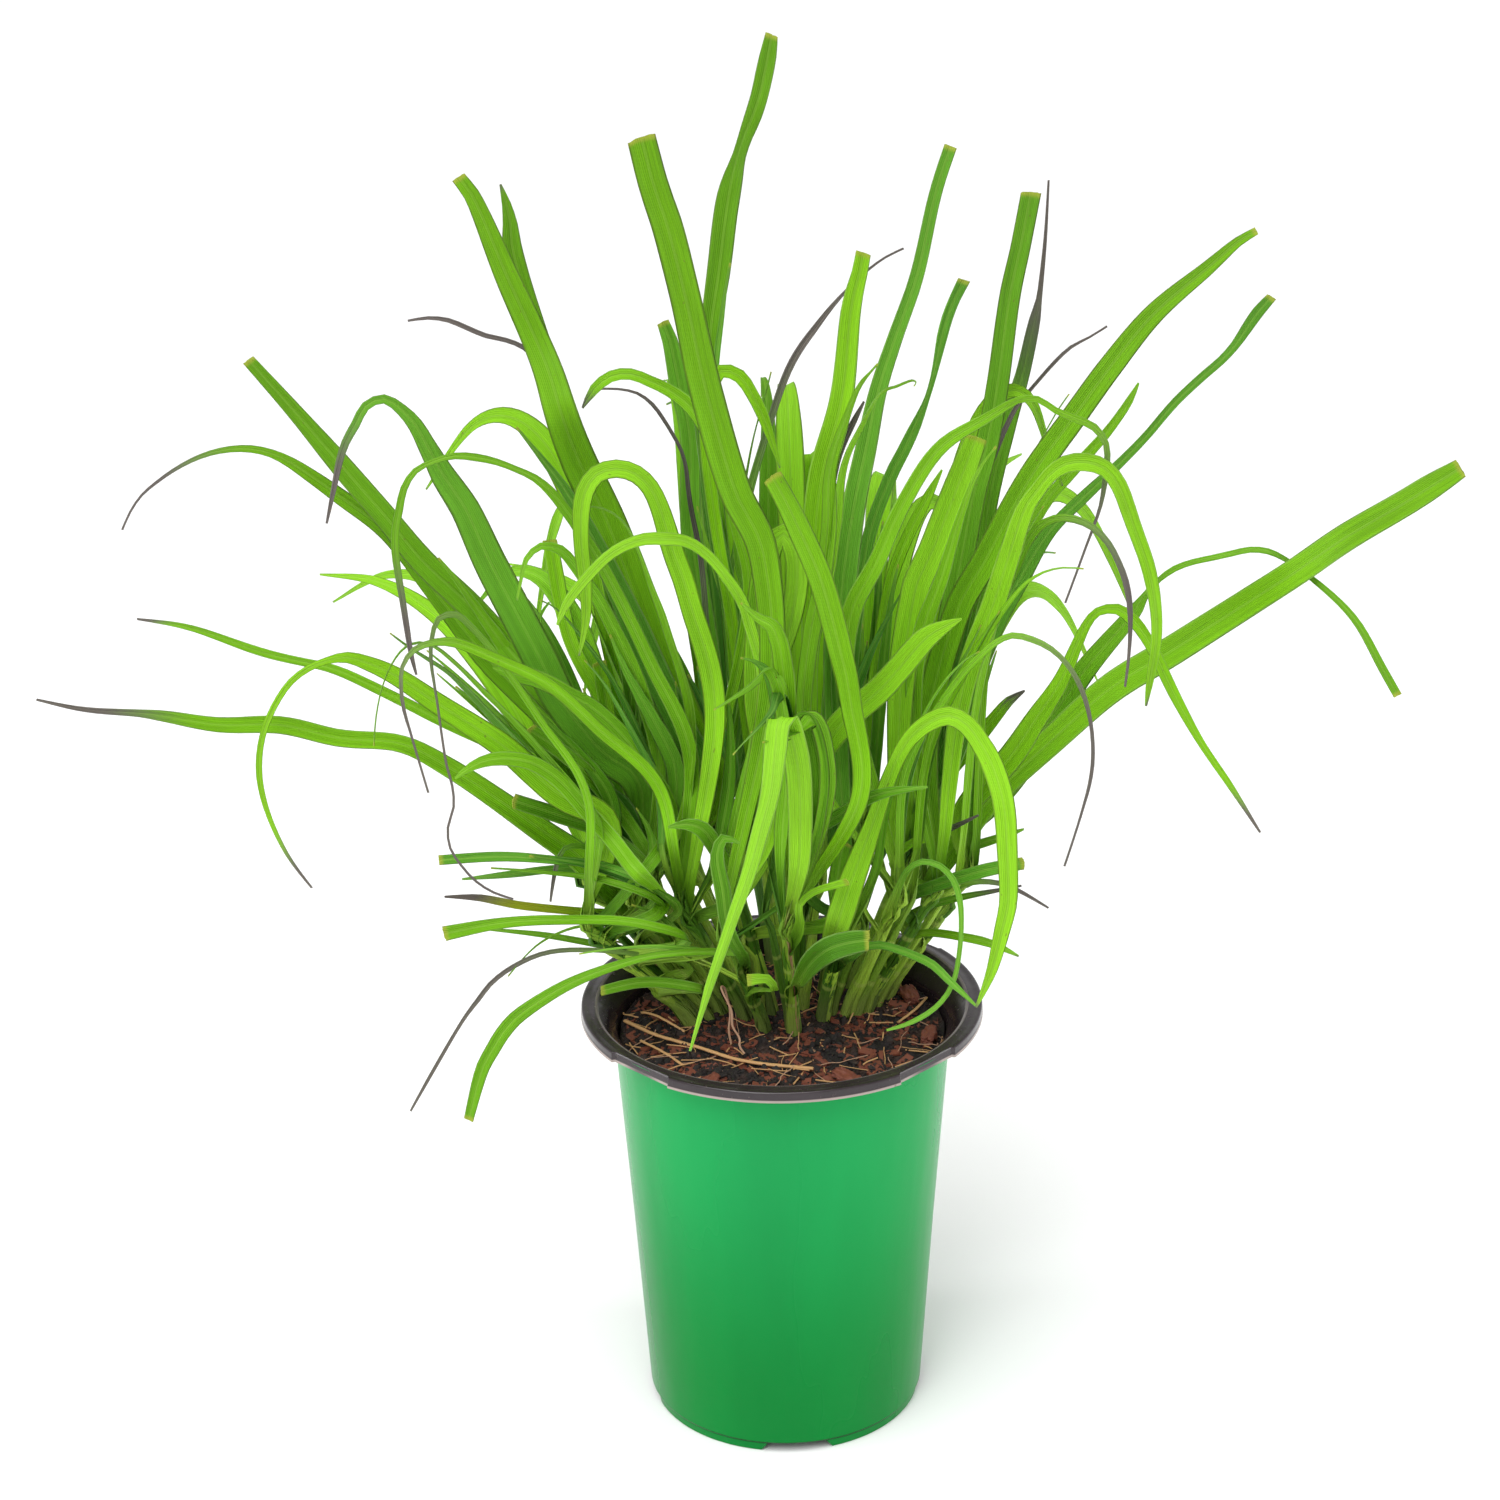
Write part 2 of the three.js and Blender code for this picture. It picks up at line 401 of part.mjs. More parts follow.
// A round tube along points, with a radius at each point.
function tube(points, radii, sides) {
  const side = new THREE.Vector3();
  const rings = points.map((point, i) => {
    const before = points[Math.max(0, i - 1)];
    const after = points[Math.min(points.length - 1, i + 1)];
    const along = after.clone().sub(before).normalize();
    if (i === 0) {
      side.set(1, 0, 0);
      if (Math.abs(along.x) > 0.8) side.set(0, 1, 0);
    }
    side.addScaledVector(along, -side.dot(along)).normalize();
    const other = along.clone().cross(side);
    return Array.from({ length: sides }, (_, j) => {
      const angle = (2 * Math.PI * j) / sides;
      return point
        .clone()
        .addScaledVector(side, radii[i] * Math.cos(angle))
        .addScaledVector(other, radii[i] * Math.sin(angle));
    });
  });
  return loft(rings);
}

function upright(geometry) {
  return geometry.rotateX(Math.PI / 2);
}

// Pot.

function potProfile() {
  const wallFoot = FOOT_RADIUS + STEP_OUT;
  const skirtFoot = POT_HEIGHT - SKIRT;
  const points = [
    [0, FOOT_HEIGHT],
    [FOOT_RADIUS - WALL - 0.4, FOOT_HEIGHT],
    [FOOT_RADIUS - WALL, 0],
    [FOOT_RADIUS, 0],
    [FOOT_RADIUS + 0.3, FOOT_HEIGHT - 0.6],
    [wallFoot, FOOT_HEIGHT + 0.3],
    [SHOULDER_RADIUS, SHOULDER_HEIGHT],
    [RIM_INNER_RADIUS + 1.2, POT_HEIGHT - WALL],
    [RIM_RADIUS - WALL, POT_HEIGHT - WALL],
    [RIM_RADIUS - WALL, skirtFoot],
    [RIM_RADIUS + 0.3, skirtFoot],
    [RIM_RADIUS, POT_HEIGHT - 1],
    [RIM_RADIUS - 0.9, POT_HEIGHT],
    [RIM_INNER_RADIUS, POT_HEIGHT],
    [SHOULDER_RADIUS + 2.2, POT_HEIGHT - 4.4],
    [SHOULDER_RADIUS - WALL, SHOULDER_HEIGHT - 1],
    [wallFoot - WALL, FOOT_HEIGHT + WALL],
    [0, FOOT_HEIGHT + WALL],
  ];
  return points.map(([radius, height]) => new THREE.Vector2(radius, height));
}

function turned(geometry, angle) {
  return geometry.rotateZ(degrees(angle));
}

function footNotch(turn) {
  const top = NOTCH_WIDTH / 2 - NOTCH_FLARE;
  const bottom = NOTCH_WIDTH / 2 + NOTCH_FLARE;
  const shape = new THREE.Shape([
    new THREE.Vector2(-bottom, -2),
    new THREE.Vector2(bottom, -2),
    new THREE.Vector2(top, NOTCH_HEIGHT),
    new THREE.Vector2(-top, NOTCH_HEIGHT),
  ]);
  const prism = new THREE.ExtrudeGeometry(shape, { depth: 12, bevelEnabled: false });
  return turned(upright(prism).translate(0, FOOT_RADIUS + 4, 0), turn);
}

// A pressed flat in the rim: the ring is cut back to a straight line there, with a web behind it.
function rimFlat(turn) {
  const cut = new THREE.BoxGeometry(2 * FLAT_HALF_WIDTH, 6, 2 * SKIRT);
  const web = new THREE.BoxGeometry(2 * FLAT_HALF_WIDTH + 2, 3, SKIRT - 0.9);
  return {
    cut: turned(cut.translate(0, FLAT_DISTANCE + 3, POT_HEIGHT - 1), turn),
    web: turned(web.translate(0, FLAT_DISTANCE - 1.5, POT_HEIGHT - SKIRT / 2 - 0.25), turn),
  };
}

function makePot() {
  let pot = solidOf(upright(new THREE.LatheGeometry(potProfile(), POT_SIDES)));
  for (let quarter = 0; quarter < 4; quarter++) {
    const flat = rimFlat(FLAT_TURN + 90 * quarter);
    pot = pot.subtract(solidOf(flat.cut)).add(solidOf(flat.web));
    pot = pot.subtract(solidOf(footNotch(180 + NOTCH_TURN + 90 * quarter)));
  }
  for (let hole = 0; hole < 6; hole++) {
    const drain = upright(new THREE.CylinderGeometry(DRAIN_RADIUS, DRAIN_RADIUS, 8, 12));
    drain.translate(DRAIN_CIRCLE, 0, FOOT_HEIGHT + WALL / 2);
    pot = pot.subtract(solidOf(turned(drain, 60 * hole)));
  }
  return geometryOf(pot);
}

// Potting mix.

function mixHeight(x, y) {
  const fromClump = Math.hypot(x, y - CLUMP_CENTRE_Y) / MIX_MOUND_RADIUS;
  const mound = MIX_MOUND * Math.exp(-fromClump * fromClump);
  return MIX_LEVEL + mound + MIX_WAVE * Math.sin(0.21 * x + 0.5) * Math.cos(0.17 * y);
}

function innerRadius(height) {
  const foot = FOOT_RADIUS + STEP_OUT - WALL;
  const share = (height - FOOT_HEIGHT - WALL) / (SHOULDER_HEIGHT - 1 - FOOT_HEIGHT - WALL);
  return foot + share * (SHOULDER_RADIUS - WALL - foot);
}

function makeMix() {
  const bottom = FOOT_HEIGHT + WALL + MIX_GAP;
  const ringAt = (radius, height) =>
    Array.from({ length: MIX_SIDES }, (_, i) => {
      const angle = (2 * Math.PI * i) / MIX_SIDES;
      const x = radius * Math.cos(angle);
      const y = radius * Math.sin(angle);
      return new THREE.Vector3(x, y, height ?? mixHeight(x, y));
    });
  const wall = Math.cos(Math.PI / POT_SIDES);
  const rings = [ringAt(innerRadius(bottom) * wall - MIX_GAP - 0.8, bottom)];
  const outer = innerRadius(MIX_LEVEL - 3) * wall - MIX_GAP;
  for (let i = 0; i < MIX_RINGS; i++) rings.push(ringAt(outer * (1 - i / MIX_RINGS)));
  let mix = solidOf(loft(rings));
  for (const [x, y] of STALKS) {
    const level = mixHeight(x, y);
    const ends = [new THREE.Vector3(x, y, level - STALK_DEPTH), new THREE.Vector3(x, y, level + STALK_DEPTH)];
    const radius = STALK_RADIUS + HOLE_GAP;
    mix = mix.subtract(solidOf(tube(ends, [radius, radius], STALK_SIDES)));
  }
  return geometryOf(mix);
}

// Stalks.

function stalkLean([x, y]) {
  return new THREE.Vector3(LEAN_X * (x - CLUMP_CENTRE_X), LEAN_Y * (y - CLUMP_CENTRE_Y), 1).normalize();
}

function stalkPoints([x, y]) {
  const along = stalkLean([x, y]);
  const level = mixHeight(x, y);
  const start = new THREE.Vector3(x, y, level);
  return [
    new THREE.Vector3(x, y, level - STALK_DEPTH + HOLE_GAP),
    start.clone().setZ(level + 2),
    ...STALK_SHARES.map((share) => start.clone().addScaledVector(along, share * STALK_LENGTH)),
  ];
}

function stalkAt(points, share) {
  const start = points[1];
  return start.clone().lerp(points[points.length - 1], share);
}

function makeStalk(points) {
  return tube(points, STALK_RADII, STALK_SIDES);
}

// Traces.

// Where the camera's picture shows a point.
function placeSeen(point) {
  const ray = point.clone().sub(CAMERA);
  const scale = FOCAL / ray.dot(FORWARD);
  const place = new THREE.Vector2(ray.dot(RIGHT) * scale, -ray.dot(UP) * scale);
  return place.add(MIDDLE).rotateAround(MIDDLE, CAMERA_ROLL);
}

// The point that the picture shows at a place, at the depth y.
function pointSeen(across, down, y) {
  const place = new THREE.Vector2(across, down).rotateAround(MIDDLE, -CAMERA_ROLL).sub(MIDDLE);
  const ray = FORWARD.clone().multiplyScalar(FOCAL);
  ray.addScaledVector(RIGHT, place.x).addScaledVector(UP, -place.y);
  return CAMERA.clone().addScaledVector(ray, (y - CAMERA.y) / ray.y);
}

// A traced leaf in whole millimetres and half ones of width, [name, stalk, end, points]. Its depth goes from
// its start's to its tip's by the length of its trace, counted from the top of its stalk.
function tracedLeaf([name, stalk, startDepth, tipDepth, end, trace]) {
  const [x, y] = STALKS[stalk];
  const top = new THREE.Vector3(x, y, MIX_LEVEL).addScaledVector(stalkLean([x, y]), STALK_LENGTH);
  const from = startDepth ?? top.y;
  const places = trace.map(([across, down]) => new THREE.Vector2(across, down));
  const runs = [places[0].distanceTo(placeSeen(top))];
  for (let i = 1; i < places.length; i++) runs.push(runs[i - 1] + places[i].distanceTo(places[i - 1]));
  const points = trace.map(([across, down, width, ...twist], i) => {
    const share = (runs[i] / runs[runs.length - 1]) ** DEPTH_BEND;
    const point = pointSeen(across, down, from + (tipDepth - from) * share);
    const size = (width * point.distanceTo(CAMERA)) / FOCAL;
    return [...point.toArray().map((value) => Math.round(value)), Math.round(size * 2) / 2, ...twist];
  });
  return [name, stalk, end, points];
}

// Blades.

// Points, widths and twists on a smooth line through rows of numbers.
function smoothRow(rows, place) {
  const i = Math.min(rows.length - 2, Math.floor(place));
  const t = place - i;
  const before = rows[Math.max(0, i - 1)];
  const after = rows[Math.min(rows.length - 1, i + 2)];
  return rows[i].map((from, k) => {
    const to = rows[i + 1][k];
    const bend = 2 * before[k] - 5 * from + 4 * to - after[k];
    const turn = 3 * from - before[k] - 3 * to + after[k];
    return from + 0.5 * t * (to - before[k] + t * (bend + t * turn));
  });
}

// The same line at even steps of about SAMPLE_STEP.
function evenRows(rows) {
  const fine = [];
  for (let i = 0; i < rows.length - 1; i++) {
    for (let j = 0; j < 16; j++) fine.push(smoothRow(rows, i + j / 16));
  }
  fine.push(rows[rows.length - 1]);
  const lengths = [0];
  for (let i = 1; i < fine.length; i++) {
    const step = Math.hypot(...[0, 1, 2].map((k) => fine[i][k] - fine[i - 1][k]));
    lengths.push(lengths[i - 1] + step);
  }
  const total = lengths[lengths.length - 1];
  const steps = Math.max(4, Math.round(total / SAMPLE_STEP));
  const even = [];
  let j = 0;
  for (let i = 0; i <= steps; i++) {
    const at = (total * i) / steps;
    while (j < fine.length - 2 && lengths[j + 1] < at) j++;
    const t = Math.min(1, (at - lengths[j]) / (lengths[j + 1] - lengths[j]));
    even.push(fine[j].map((value, k) => value + t * (fine[j + 1][k] - value)));
  }
  return { rows: even, step: total / steps };
}

// A leaf starts inside its stalk, no higher than its first point asks.
function leafLine([, stalk, end, points], order) {
  const stem = stalkPoints(STALKS[stalk]);
  const reach = (points[0][2] - BASE_DROP - stem[1].z) / (stem[stem.length - 1].z - stem[1].z);
  const share = Math.min(BASE_HIGHEST - BASE_ORDER * order, Math.max(BASE_LOWEST, reach));
  const low = stalkAt(stem, share - BASE_INSIDE);
  const high = stalkAt(stem, share);
  const rows = [
    [...low.toArray(), BASE_WIDTH - 1, 0],
    [...high.toArray(), BASE_WIDTH, 0],
    ...points.map(([x, y, z, width, twist = 0]) => [x, y, z, width, degrees(twist)]),
  ];
  if (end === "tip") rows[rows.length - 1][3] = LEAST_WIDTH;
  const { rows: even, step } = evenRows(rows);
  return {
    stalk,
    step,
    points: even.map((row) => new THREE.Vector3(row[0], row[1], row[2])),
    widths: even.map((row) => Math.max(LEAST_WIDTH, row[3])),
    twists: even.map((row) => row[4]),
  };
}

// Leaves on the far side of the clump, drawn from a seed: each rises from its stalk and arches over.
function backLeaves() {
  const random = makeRandom(BACK_SEED);
  const between = ([low, high]) => low + (high - low) * random();
  const made = [];
  for (const stalk of BACK_STALKS) {
    const stem = stalkPoints(STALKS[stalk]);
    const top = stem[stem.length - 1];
    for (let i = 0; i < BACK_LEAVES_EACH; i++) {
      const spread = -BACK_SPREAD * top.x + (i - 0.5) * 0.5 + (random() - 0.5) * 0.3;
      const bearing = Math.PI / 2 + Math.max(-BACK_FAN, Math.min(BACK_FAN, spread));
      const reach = Math.min(between(BACK_REACH), (BACK_LIMIT - top.y) / Math.sin(bearing));
      const rise = between(BACK_RISE);
      const peak = between(BACK_PEAK);
      const width = between(BACK_WIDTH);
      const turn = BACK_TWIST * (random() - 0.5);
      const points = [];
      for (let j = 1; j <= BACK_POINTS; j++) {
        const share = j / BACK_POINTS;
        const out = reach * share ** 1.3;
        const fall = (share - peak) / peak;
        const up = rise * (1 - fall * fall);
        const taper = share < 0.4 ? 0.6 + share : 1 - (share - 0.4) * 1.5;
        const x = top.x + out * Math.cos(bearing);
        points.push([x, top.y + out * Math.sin(bearing), top.z + up, width * taper, turn * share]);
      }
      made.push([`back_${stalk + 1}_${i + 1}`, stalk, "tip", points]);
    }
  }
  return made;
}

// Depth of a point along DEPTH, and its place across it.
const depthOf = (point) => point.dot(DEPTH);
const placeOf = (point) => [point.x, point.y * Math.sin(DEPTH_ANGLE) + point.z * Math.cos(DEPTH_ANGLE)];

// Samples that lie over one another across DEPTH, each with the gap in depth that keeps them clear.
function findCrossings(lines) {
  const samples = [];
  lines.forEach((line, leaf) => {
    line.points.forEach((point, i) => {
      const before = line.points[Math.max(0, i - 1)];
      const after = line.points[Math.min(line.points.length - 1, i + 1)];
      const slope = Math.abs(depthOf(after) - depthOf(before)) / 2;
      const half = line.widths[i] / 2;
      samples.push({
        leaf,
        i,
        place: placeOf(point),
        reach: Math.max(half * Math.abs(Math.cos(line.twists[i])), 0.55 * line.step) + 0.4,
        extent: 0.5 * slope + half * Math.abs(Math.sin(line.twists[i])) + 0.17 * half,
        along: i * line.step,
      });
    });
  });
  const crossings = new Map();
  for (let a = 0; a < samples.length; a++) {
    const first = samples[a];
    for (let b = a + 1; b < samples.length; b++) {
      const second = samples[b];
      if (first.leaf === second.leaf) continue;
      const gap = Math.hypot(first.place[0] - second.place[0], first.place[1] - second.place[1]);
      if (gap > first.reach + second.reach) continue;
      const lineA = lines[first.leaf];
      const lineB = lines[second.leaf];
      if (lineA.fixed && lineB.fixed) continue;
      const kin = lineA.stalk === lineB.stalk;
      if (kin && (lineA.fixed || lineB.fixed || Math.min(first.along, second.along) < KIN_FROM)) continue;
      const key = first.leaf * 1000 + second.leaf;
      if (!crossings.has(key)) crossings.set(key, []);
      const apart = CLEARANCE + first.extent + second.extent;
      crossings.get(key).push({ first, second, apart });
    }
  }
  return crossings;
}

// Crossing blades move apart in depth and keep the order they have, and their bases stay on their stalks.
function partCrossings(lines) {
  const depths = lines.map((line) => line.points.map(depthOf));
  const pairs = [];
  for (const met of findCrossings(lines).values()) {
    let lead = 0;
    for (const { first, second } of met) {
      lead += depths[second.leaf][second.i] - depths[first.leaf][first.i];
    }
    const order = lead < 0 ? -1 : 1;
    met.forEach(({ first, second, apart }) => pairs.push({ first, second, apart, order }));
  }
  const freedomAt = (line, i) => smoothStep((i * line.step - FREE_FROM) / (FREE_AT - FREE_FROM));
  const freedom = lines.map((line) => line.points.map((_, i) => (line.fixed ? 0 : freedomAt(line, i))));
  for (let round = 0; round < PARTING_ROUNDS; round++) {
    const push = depths.map((row) => row.map(() => [0, 0]));
    for (const { first, second, apart, order } of pairs) {
      const gap = order * (depths[second.leaf][second.i] - depths[first.leaf][first.i]);
      if (gap >= apart) continue;
      const freeA = freedom[first.leaf][first.i];
      const freeB = freedom[second.leaf][second.i];
      const free = freeA + freeB;
      if (free < 1e-6) continue;
      const move = (0.9 * (apart - gap)) / free;
      const a = push[first.leaf][first.i];
      const b = push[second.leaf][second.i];
      if (order > 0) {
        a[0] = Math.min(a[0], -move * freeA);
        b[1] = Math.max(b[1], move * freeB);
      } else {
        a[1] = Math.max(a[1], move * freeA);
        b[0] = Math.min(b[0], -move * freeB);
      }
    }
    depths.forEach((row, leaf) => {
      let moves = push[leaf].map(([back, forth]) => back + forth);
      for (let pass = 0; pass < 6; pass++) {
        moves = moves.map((value, i) => {
          const before = moves[Math.max(0, i - 1)];
          const after = moves[Math.min(moves.length - 1, i + 1)];
          const mean = 0.25 * before + 0.5 * value + 0.25 * after;
          return Math.abs(mean) > Math.abs(value) ? mean : 0.5 * (mean + value);
        });
      }
      row.forEach((value, i) => {
        row[i] = value + moves[i] * freedom[leaf][i];
      });
    });
  }
  lines.forEach((line, leaf) => {
    line.points.forEach((point, i) => point.addScaledVector(DEPTH, depths[leaf][i] - depthOf(point)));
  });
}

// Across and normal directions along a blade. Its face turns towards the front, except over a bend.
function bladeFrames(line) {
  const across = new THREE.Vector3();
  return line.points.map((_, i) => {
    const before = line.points[Math.max(0, i - 1)];
    const after = line.points[Math.min(line.points.length - 1, i + 1)];
    const along = after.clone().sub(before).normalize();
    const facing = along.clone().cross(DEPTH);
    const strength = facing.length();
    facing.normalize();
    if (i === 0) across.copy(facing);
    across.addScaledVector(along, -across.dot(along)).normalize();
    if (across.dot(facing) < 0) facing.negate();
    across.lerp(facing, smoothStep((strength - 0.25) / 0.4) * 0.7);
    across.addScaledVector(along, -across.dot(along)).normalize();
    const normal = along.clone().cross(across);
    const turnedAcross = across.clone().multiplyScalar(Math.cos(line.twists[i]));
    turnedAcross.addScaledVector(normal, Math.sin(line.twists[i]));
    return { along, across: turnedAcross, normal: along.clone().cross(turnedAcross) };
  });
}

function bladeRing(line, frame, i, width) {
  const half = width / 2;
  const thick = Math.min(BLADE_THICKNESS / 2, 0.2 + 0.1 * width);
  const drop = BLADE_FOLD * half;
  const point = line.points[i];
  const at = (sideways, up) =>
    point.clone().addScaledVector(frame.across, sideways).addScaledVector(frame.normal, up);
  return [at(-half, drop / 2), at(0, -drop / 2 - thick), at(half, drop / 2), at(0, -drop / 2 + thick)];
}

// Stations are closer together where a blade bends or twists.
function stationsOf(line, frames) {
  const stations = [0];
  let turned = 0;
  let travelled = 0;
  for (let i = 1; i < line.points.length - 1; i++) {
    turned += frames[i].along.angleTo(frames[i - 1].along);
    turned += 0.7 * frames[i].across.angleTo(frames[i - 1].across);
    turned += 0.05 * Math.abs(line.widths[i] - line.widths[i - 1]);
    travelled += line.step;
    if (turned > STATION_TURN || travelled > STATION_LENGTH) {
      stations.push(i);
      turned = 0;
      travelled = 0;
    }
  }
  stations.push(line.points.length - 1);
  return stations;
}

// Both faces of a blade are split alike, so that they stay apart where it twists.
function makeBlade(line) {
  const frames = bladeFrames(line);
  const rings = stationsOf(line, frames).map((i) => bladeRing(line, frames[i], i, line.widths[i]));
  return loft(rings, 2);
}

// Litter on the mix.

function makeLitter(points, radius, sides) {
  const path = points.map(([x, y, lift]) => new THREE.Vector3(x, y, mixHeight(x, y) + radius + lift));
  return tube(path, path.map(() => radius), sides);
}

function makeChip([x, y, turn, length, width, height]) {
  const chip = new THREE.BoxGeometry(length, width, height, 2, 1, 1);
  const corners = chip.getAttribute("position");
  for (let i = 0; i < corners.count; i++) {
    const share = corners.getX(i) / length;
    corners.setY(i, corners.getY(i) * (1 - 0.6 * Math.abs(share)));
  }
  turned(chip, turn);
  return chip.translate(x, y, mixHeight(x, y) + height / 2 + 1.1);
}

// Assembly.

const plant = new THREE.Group();

function place(name, geometry, material) {
  const mesh = new THREE.Mesh(geometry, material);
  mesh.name = name;
  plant.add(mesh);
}

place("pot", makePot(), materials.pot);
place("potting_mix", makeMix(), materials.mix);

const grown = [...TRACES.map(tracedLeaf), ...backLeaves()];
const orders = STALKS.map(() => 0);
const lines = grown.map((leaf) => leafLine(leaf, orders[leaf[1]]++));
const stalkLines = STALKS.map((foot, stalk) => {
  const stem = stalkPoints(foot);
  const points = Array.from({ length: 10 }, (_, i) => stalkAt(stem, i / 9));
  return {
    stalk,
    fixed: true,
    step: STALK_LENGTH / 9,
    points,
    widths: points.map(() => 2 * STALK_RADIUS),
    twists: points.map(() => Math.PI / 4),
  };
});
partCrossings([...lines, ...stalkLines]);

STALKS.forEach((foot, stalk) => {
  const blades = lines.filter((line) => line.stalk === stalk).map((line) => solidOf(makeBlade(line)));
  const stem = solidOf(makeStalk(stalkPoints(foot)));
  const material = stalk < BACK_STALKS[0] ? materials.leaf : materials.backLeaf;
  const joined = soundSolid(wasm.Manifold.union([stem, ...blades]));
  place(`stem_${String(stalk + 1).padStart(2, "0")}`, geometryOf(joined), material);
});

LITTER.forEach(([name, radius, colour, points]) => {
  place(name, makeLitter(points, radius, LITTER_SIDES), materials[colour]);
});
CHIPS.forEach((chip, i) => place(`bark_chip_${i + 1}`, makeChip(chip), materials.bark));

export default plant;
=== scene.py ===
"""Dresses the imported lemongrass: fine blades and sheaths, the two-coloured pot, potting mix and litter."""

import math
from dataclasses import dataclass, field

import bmesh
import bpy
import numpy as np
from bpy.props import FloatProperty, FloatVectorProperty, IntProperty, PointerProperty
from mathutils import Matrix, Vector, noise


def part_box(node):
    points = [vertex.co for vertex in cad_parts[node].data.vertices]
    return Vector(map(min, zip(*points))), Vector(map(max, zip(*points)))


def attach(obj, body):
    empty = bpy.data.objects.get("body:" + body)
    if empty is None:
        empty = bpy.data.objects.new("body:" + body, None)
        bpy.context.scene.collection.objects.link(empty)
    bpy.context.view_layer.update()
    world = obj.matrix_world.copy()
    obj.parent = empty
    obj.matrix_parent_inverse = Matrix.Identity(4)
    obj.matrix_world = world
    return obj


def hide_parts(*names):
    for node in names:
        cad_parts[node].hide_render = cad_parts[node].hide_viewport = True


bl_info = {
    "name": "Potted lemongrass",
    "version": (1, 0, 0),
    "blender": (4, 5, 0),
    "location": "View3D > Sidebar > Lemongrass",
    "description": "Fine blades, sheaths, pot, potting mix and litter for the packed lemongrass",
    "category": "Object",
}

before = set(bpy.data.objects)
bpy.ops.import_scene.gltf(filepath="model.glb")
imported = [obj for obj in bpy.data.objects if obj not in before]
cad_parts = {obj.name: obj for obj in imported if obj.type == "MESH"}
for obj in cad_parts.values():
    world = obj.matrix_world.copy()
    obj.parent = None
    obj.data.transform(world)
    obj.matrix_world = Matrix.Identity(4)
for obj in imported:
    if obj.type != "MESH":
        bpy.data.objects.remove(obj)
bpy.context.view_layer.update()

MM = 0.001
BODY = "root"

# Pot, in millimetres.
RIM_RADIUS = 82.5
RIM_INNER_RADIUS = 76.2
POT_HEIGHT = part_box("pot")[1].z / MM
SKIRT = 4.6
SHOULDER_RADIUS = 69.6
SHOULDER_HEIGHT = 173.0
FOOT_RADIUS = 56.6
FOOT_HEIGHT = 4.6
STEP_OUT = 1.3
WALL = 1.6
NOTCH_TURN = 4.0
NOTCH_HALF_WIDTH = 13.5
NOTCH_FLARE = 1.5
NOTCH_HEIGHT = 4.0
FLAT_TURN = 45.0
FLAT_HALF_WIDTH = 15.7
FLAT_DISTANCE = 79.8
DRAIN_RADIUS = 5.0
DRAIN_CIRCLE = 38.0
DRAIN_HOLES = 6
DRAIN_SIDES = 32
DRAIN_CUT = 8.0

# Potting mix.
MIX_LEVEL = 168.0
MIX_GAP = 0.5
MIX_MOUND = 3.0
MIX_MOUND_RADIUS = 34.0
MIX_WAVE = 0.8
MIX_WAVE_X = 0.21
MIX_WAVE_Y = 0.17
MIX_WAVE_START = 0.5

# Stalks.
STALK_START = 2.0
STALK_LENGTH = 72.0
STALK_STEPS = 9
STALK_RADIUS = 3.1
CLUMP_CENTRE_X = 8.0
CLUMP_CENTRE_Y = 25.0
LEAN_X = 0.018
LEAN_Y = 0.016
NODE_HEIGHTS = (17.0, 39.0)

# Blade lines.
SAMPLE_STEP = 8.0
FINE_STEPS = 16
LEAST_STEPS = 4
BASE_WIDTH = 3.8
LEAST_WIDTH = 0.9
BASE_DROP = 14.0
BASE_LOWEST = 0.3
BASE_HIGHEST = 0.97
BASE_ORDER = 0.05
BASE_INSIDE = 0.14

# Crossing blades part along this line, the one with the greater depth going back.
DEPTH_ANGLE = 0.389
DEPTH = np.array([0.0, math.cos(DEPTH_ANGLE), -math.sin(DEPTH_ANGLE)])
CLEARANCE = 2.6
STEP_REACH = 0.55
REACH_MARGIN = 0.4
FOLD_DEPTH = 0.17
KIN_FROM = 30.0
FREE_FROM = 14.0
FREE_AT = 60.0
LEAST_FREEDOM = 1e-6
PARTING_ROUNDS = 160
PARTING_RATE = 0.9
SMOOTHING_ROUNDS = 6

# A blade's face turns to the front where the blade is steep enough to the line of sight.
FACING_FROM = 0.25
FACING_OVER = 0.4
FACING_PULL = 0.7

# Where each stalk stands.
STALKS = [
    [-7, -3], [5, -5], [-15, 8], [17, 6], [27, 9], [35, 15], [-25, 15], [-35, 22], [-4, 11], [8, 16],
    [-37, 8], [43, 26], [-13, 25], [1, 30], [18, 26], [30, 31], [-25, 33], [-39, 37], [-9, 43],
    [8, 45], [22, 46], [-22, 50], [38, 44], [-3, 60], [13, 62],
]

# The camera, in millimetres: its place, its downward pitch, its roll, and its focal length in the units of
# its picture, which is PICTURE units wide and high. The leaves are traced through it.
PICTURE = 1500.0
CAMERA = np.array([-11.534, -1248.74, 804.697])
CAMERA_PITCH = 0.389066
CAMERA_ROLL = -0.0146038
FOCAL = 3381.0
FORWARD = np.array([0.0, math.cos(CAMERA_PITCH), -math.sin(CAMERA_PITCH)])
RIGHT = np.array([1.0, 0.0, 0.0])
UP = np.cross(RIGHT, FORWARD)
# How a leaf's depth changes along it: 1 is evenly, and more is later.
DEPTH_BEND = 1.15

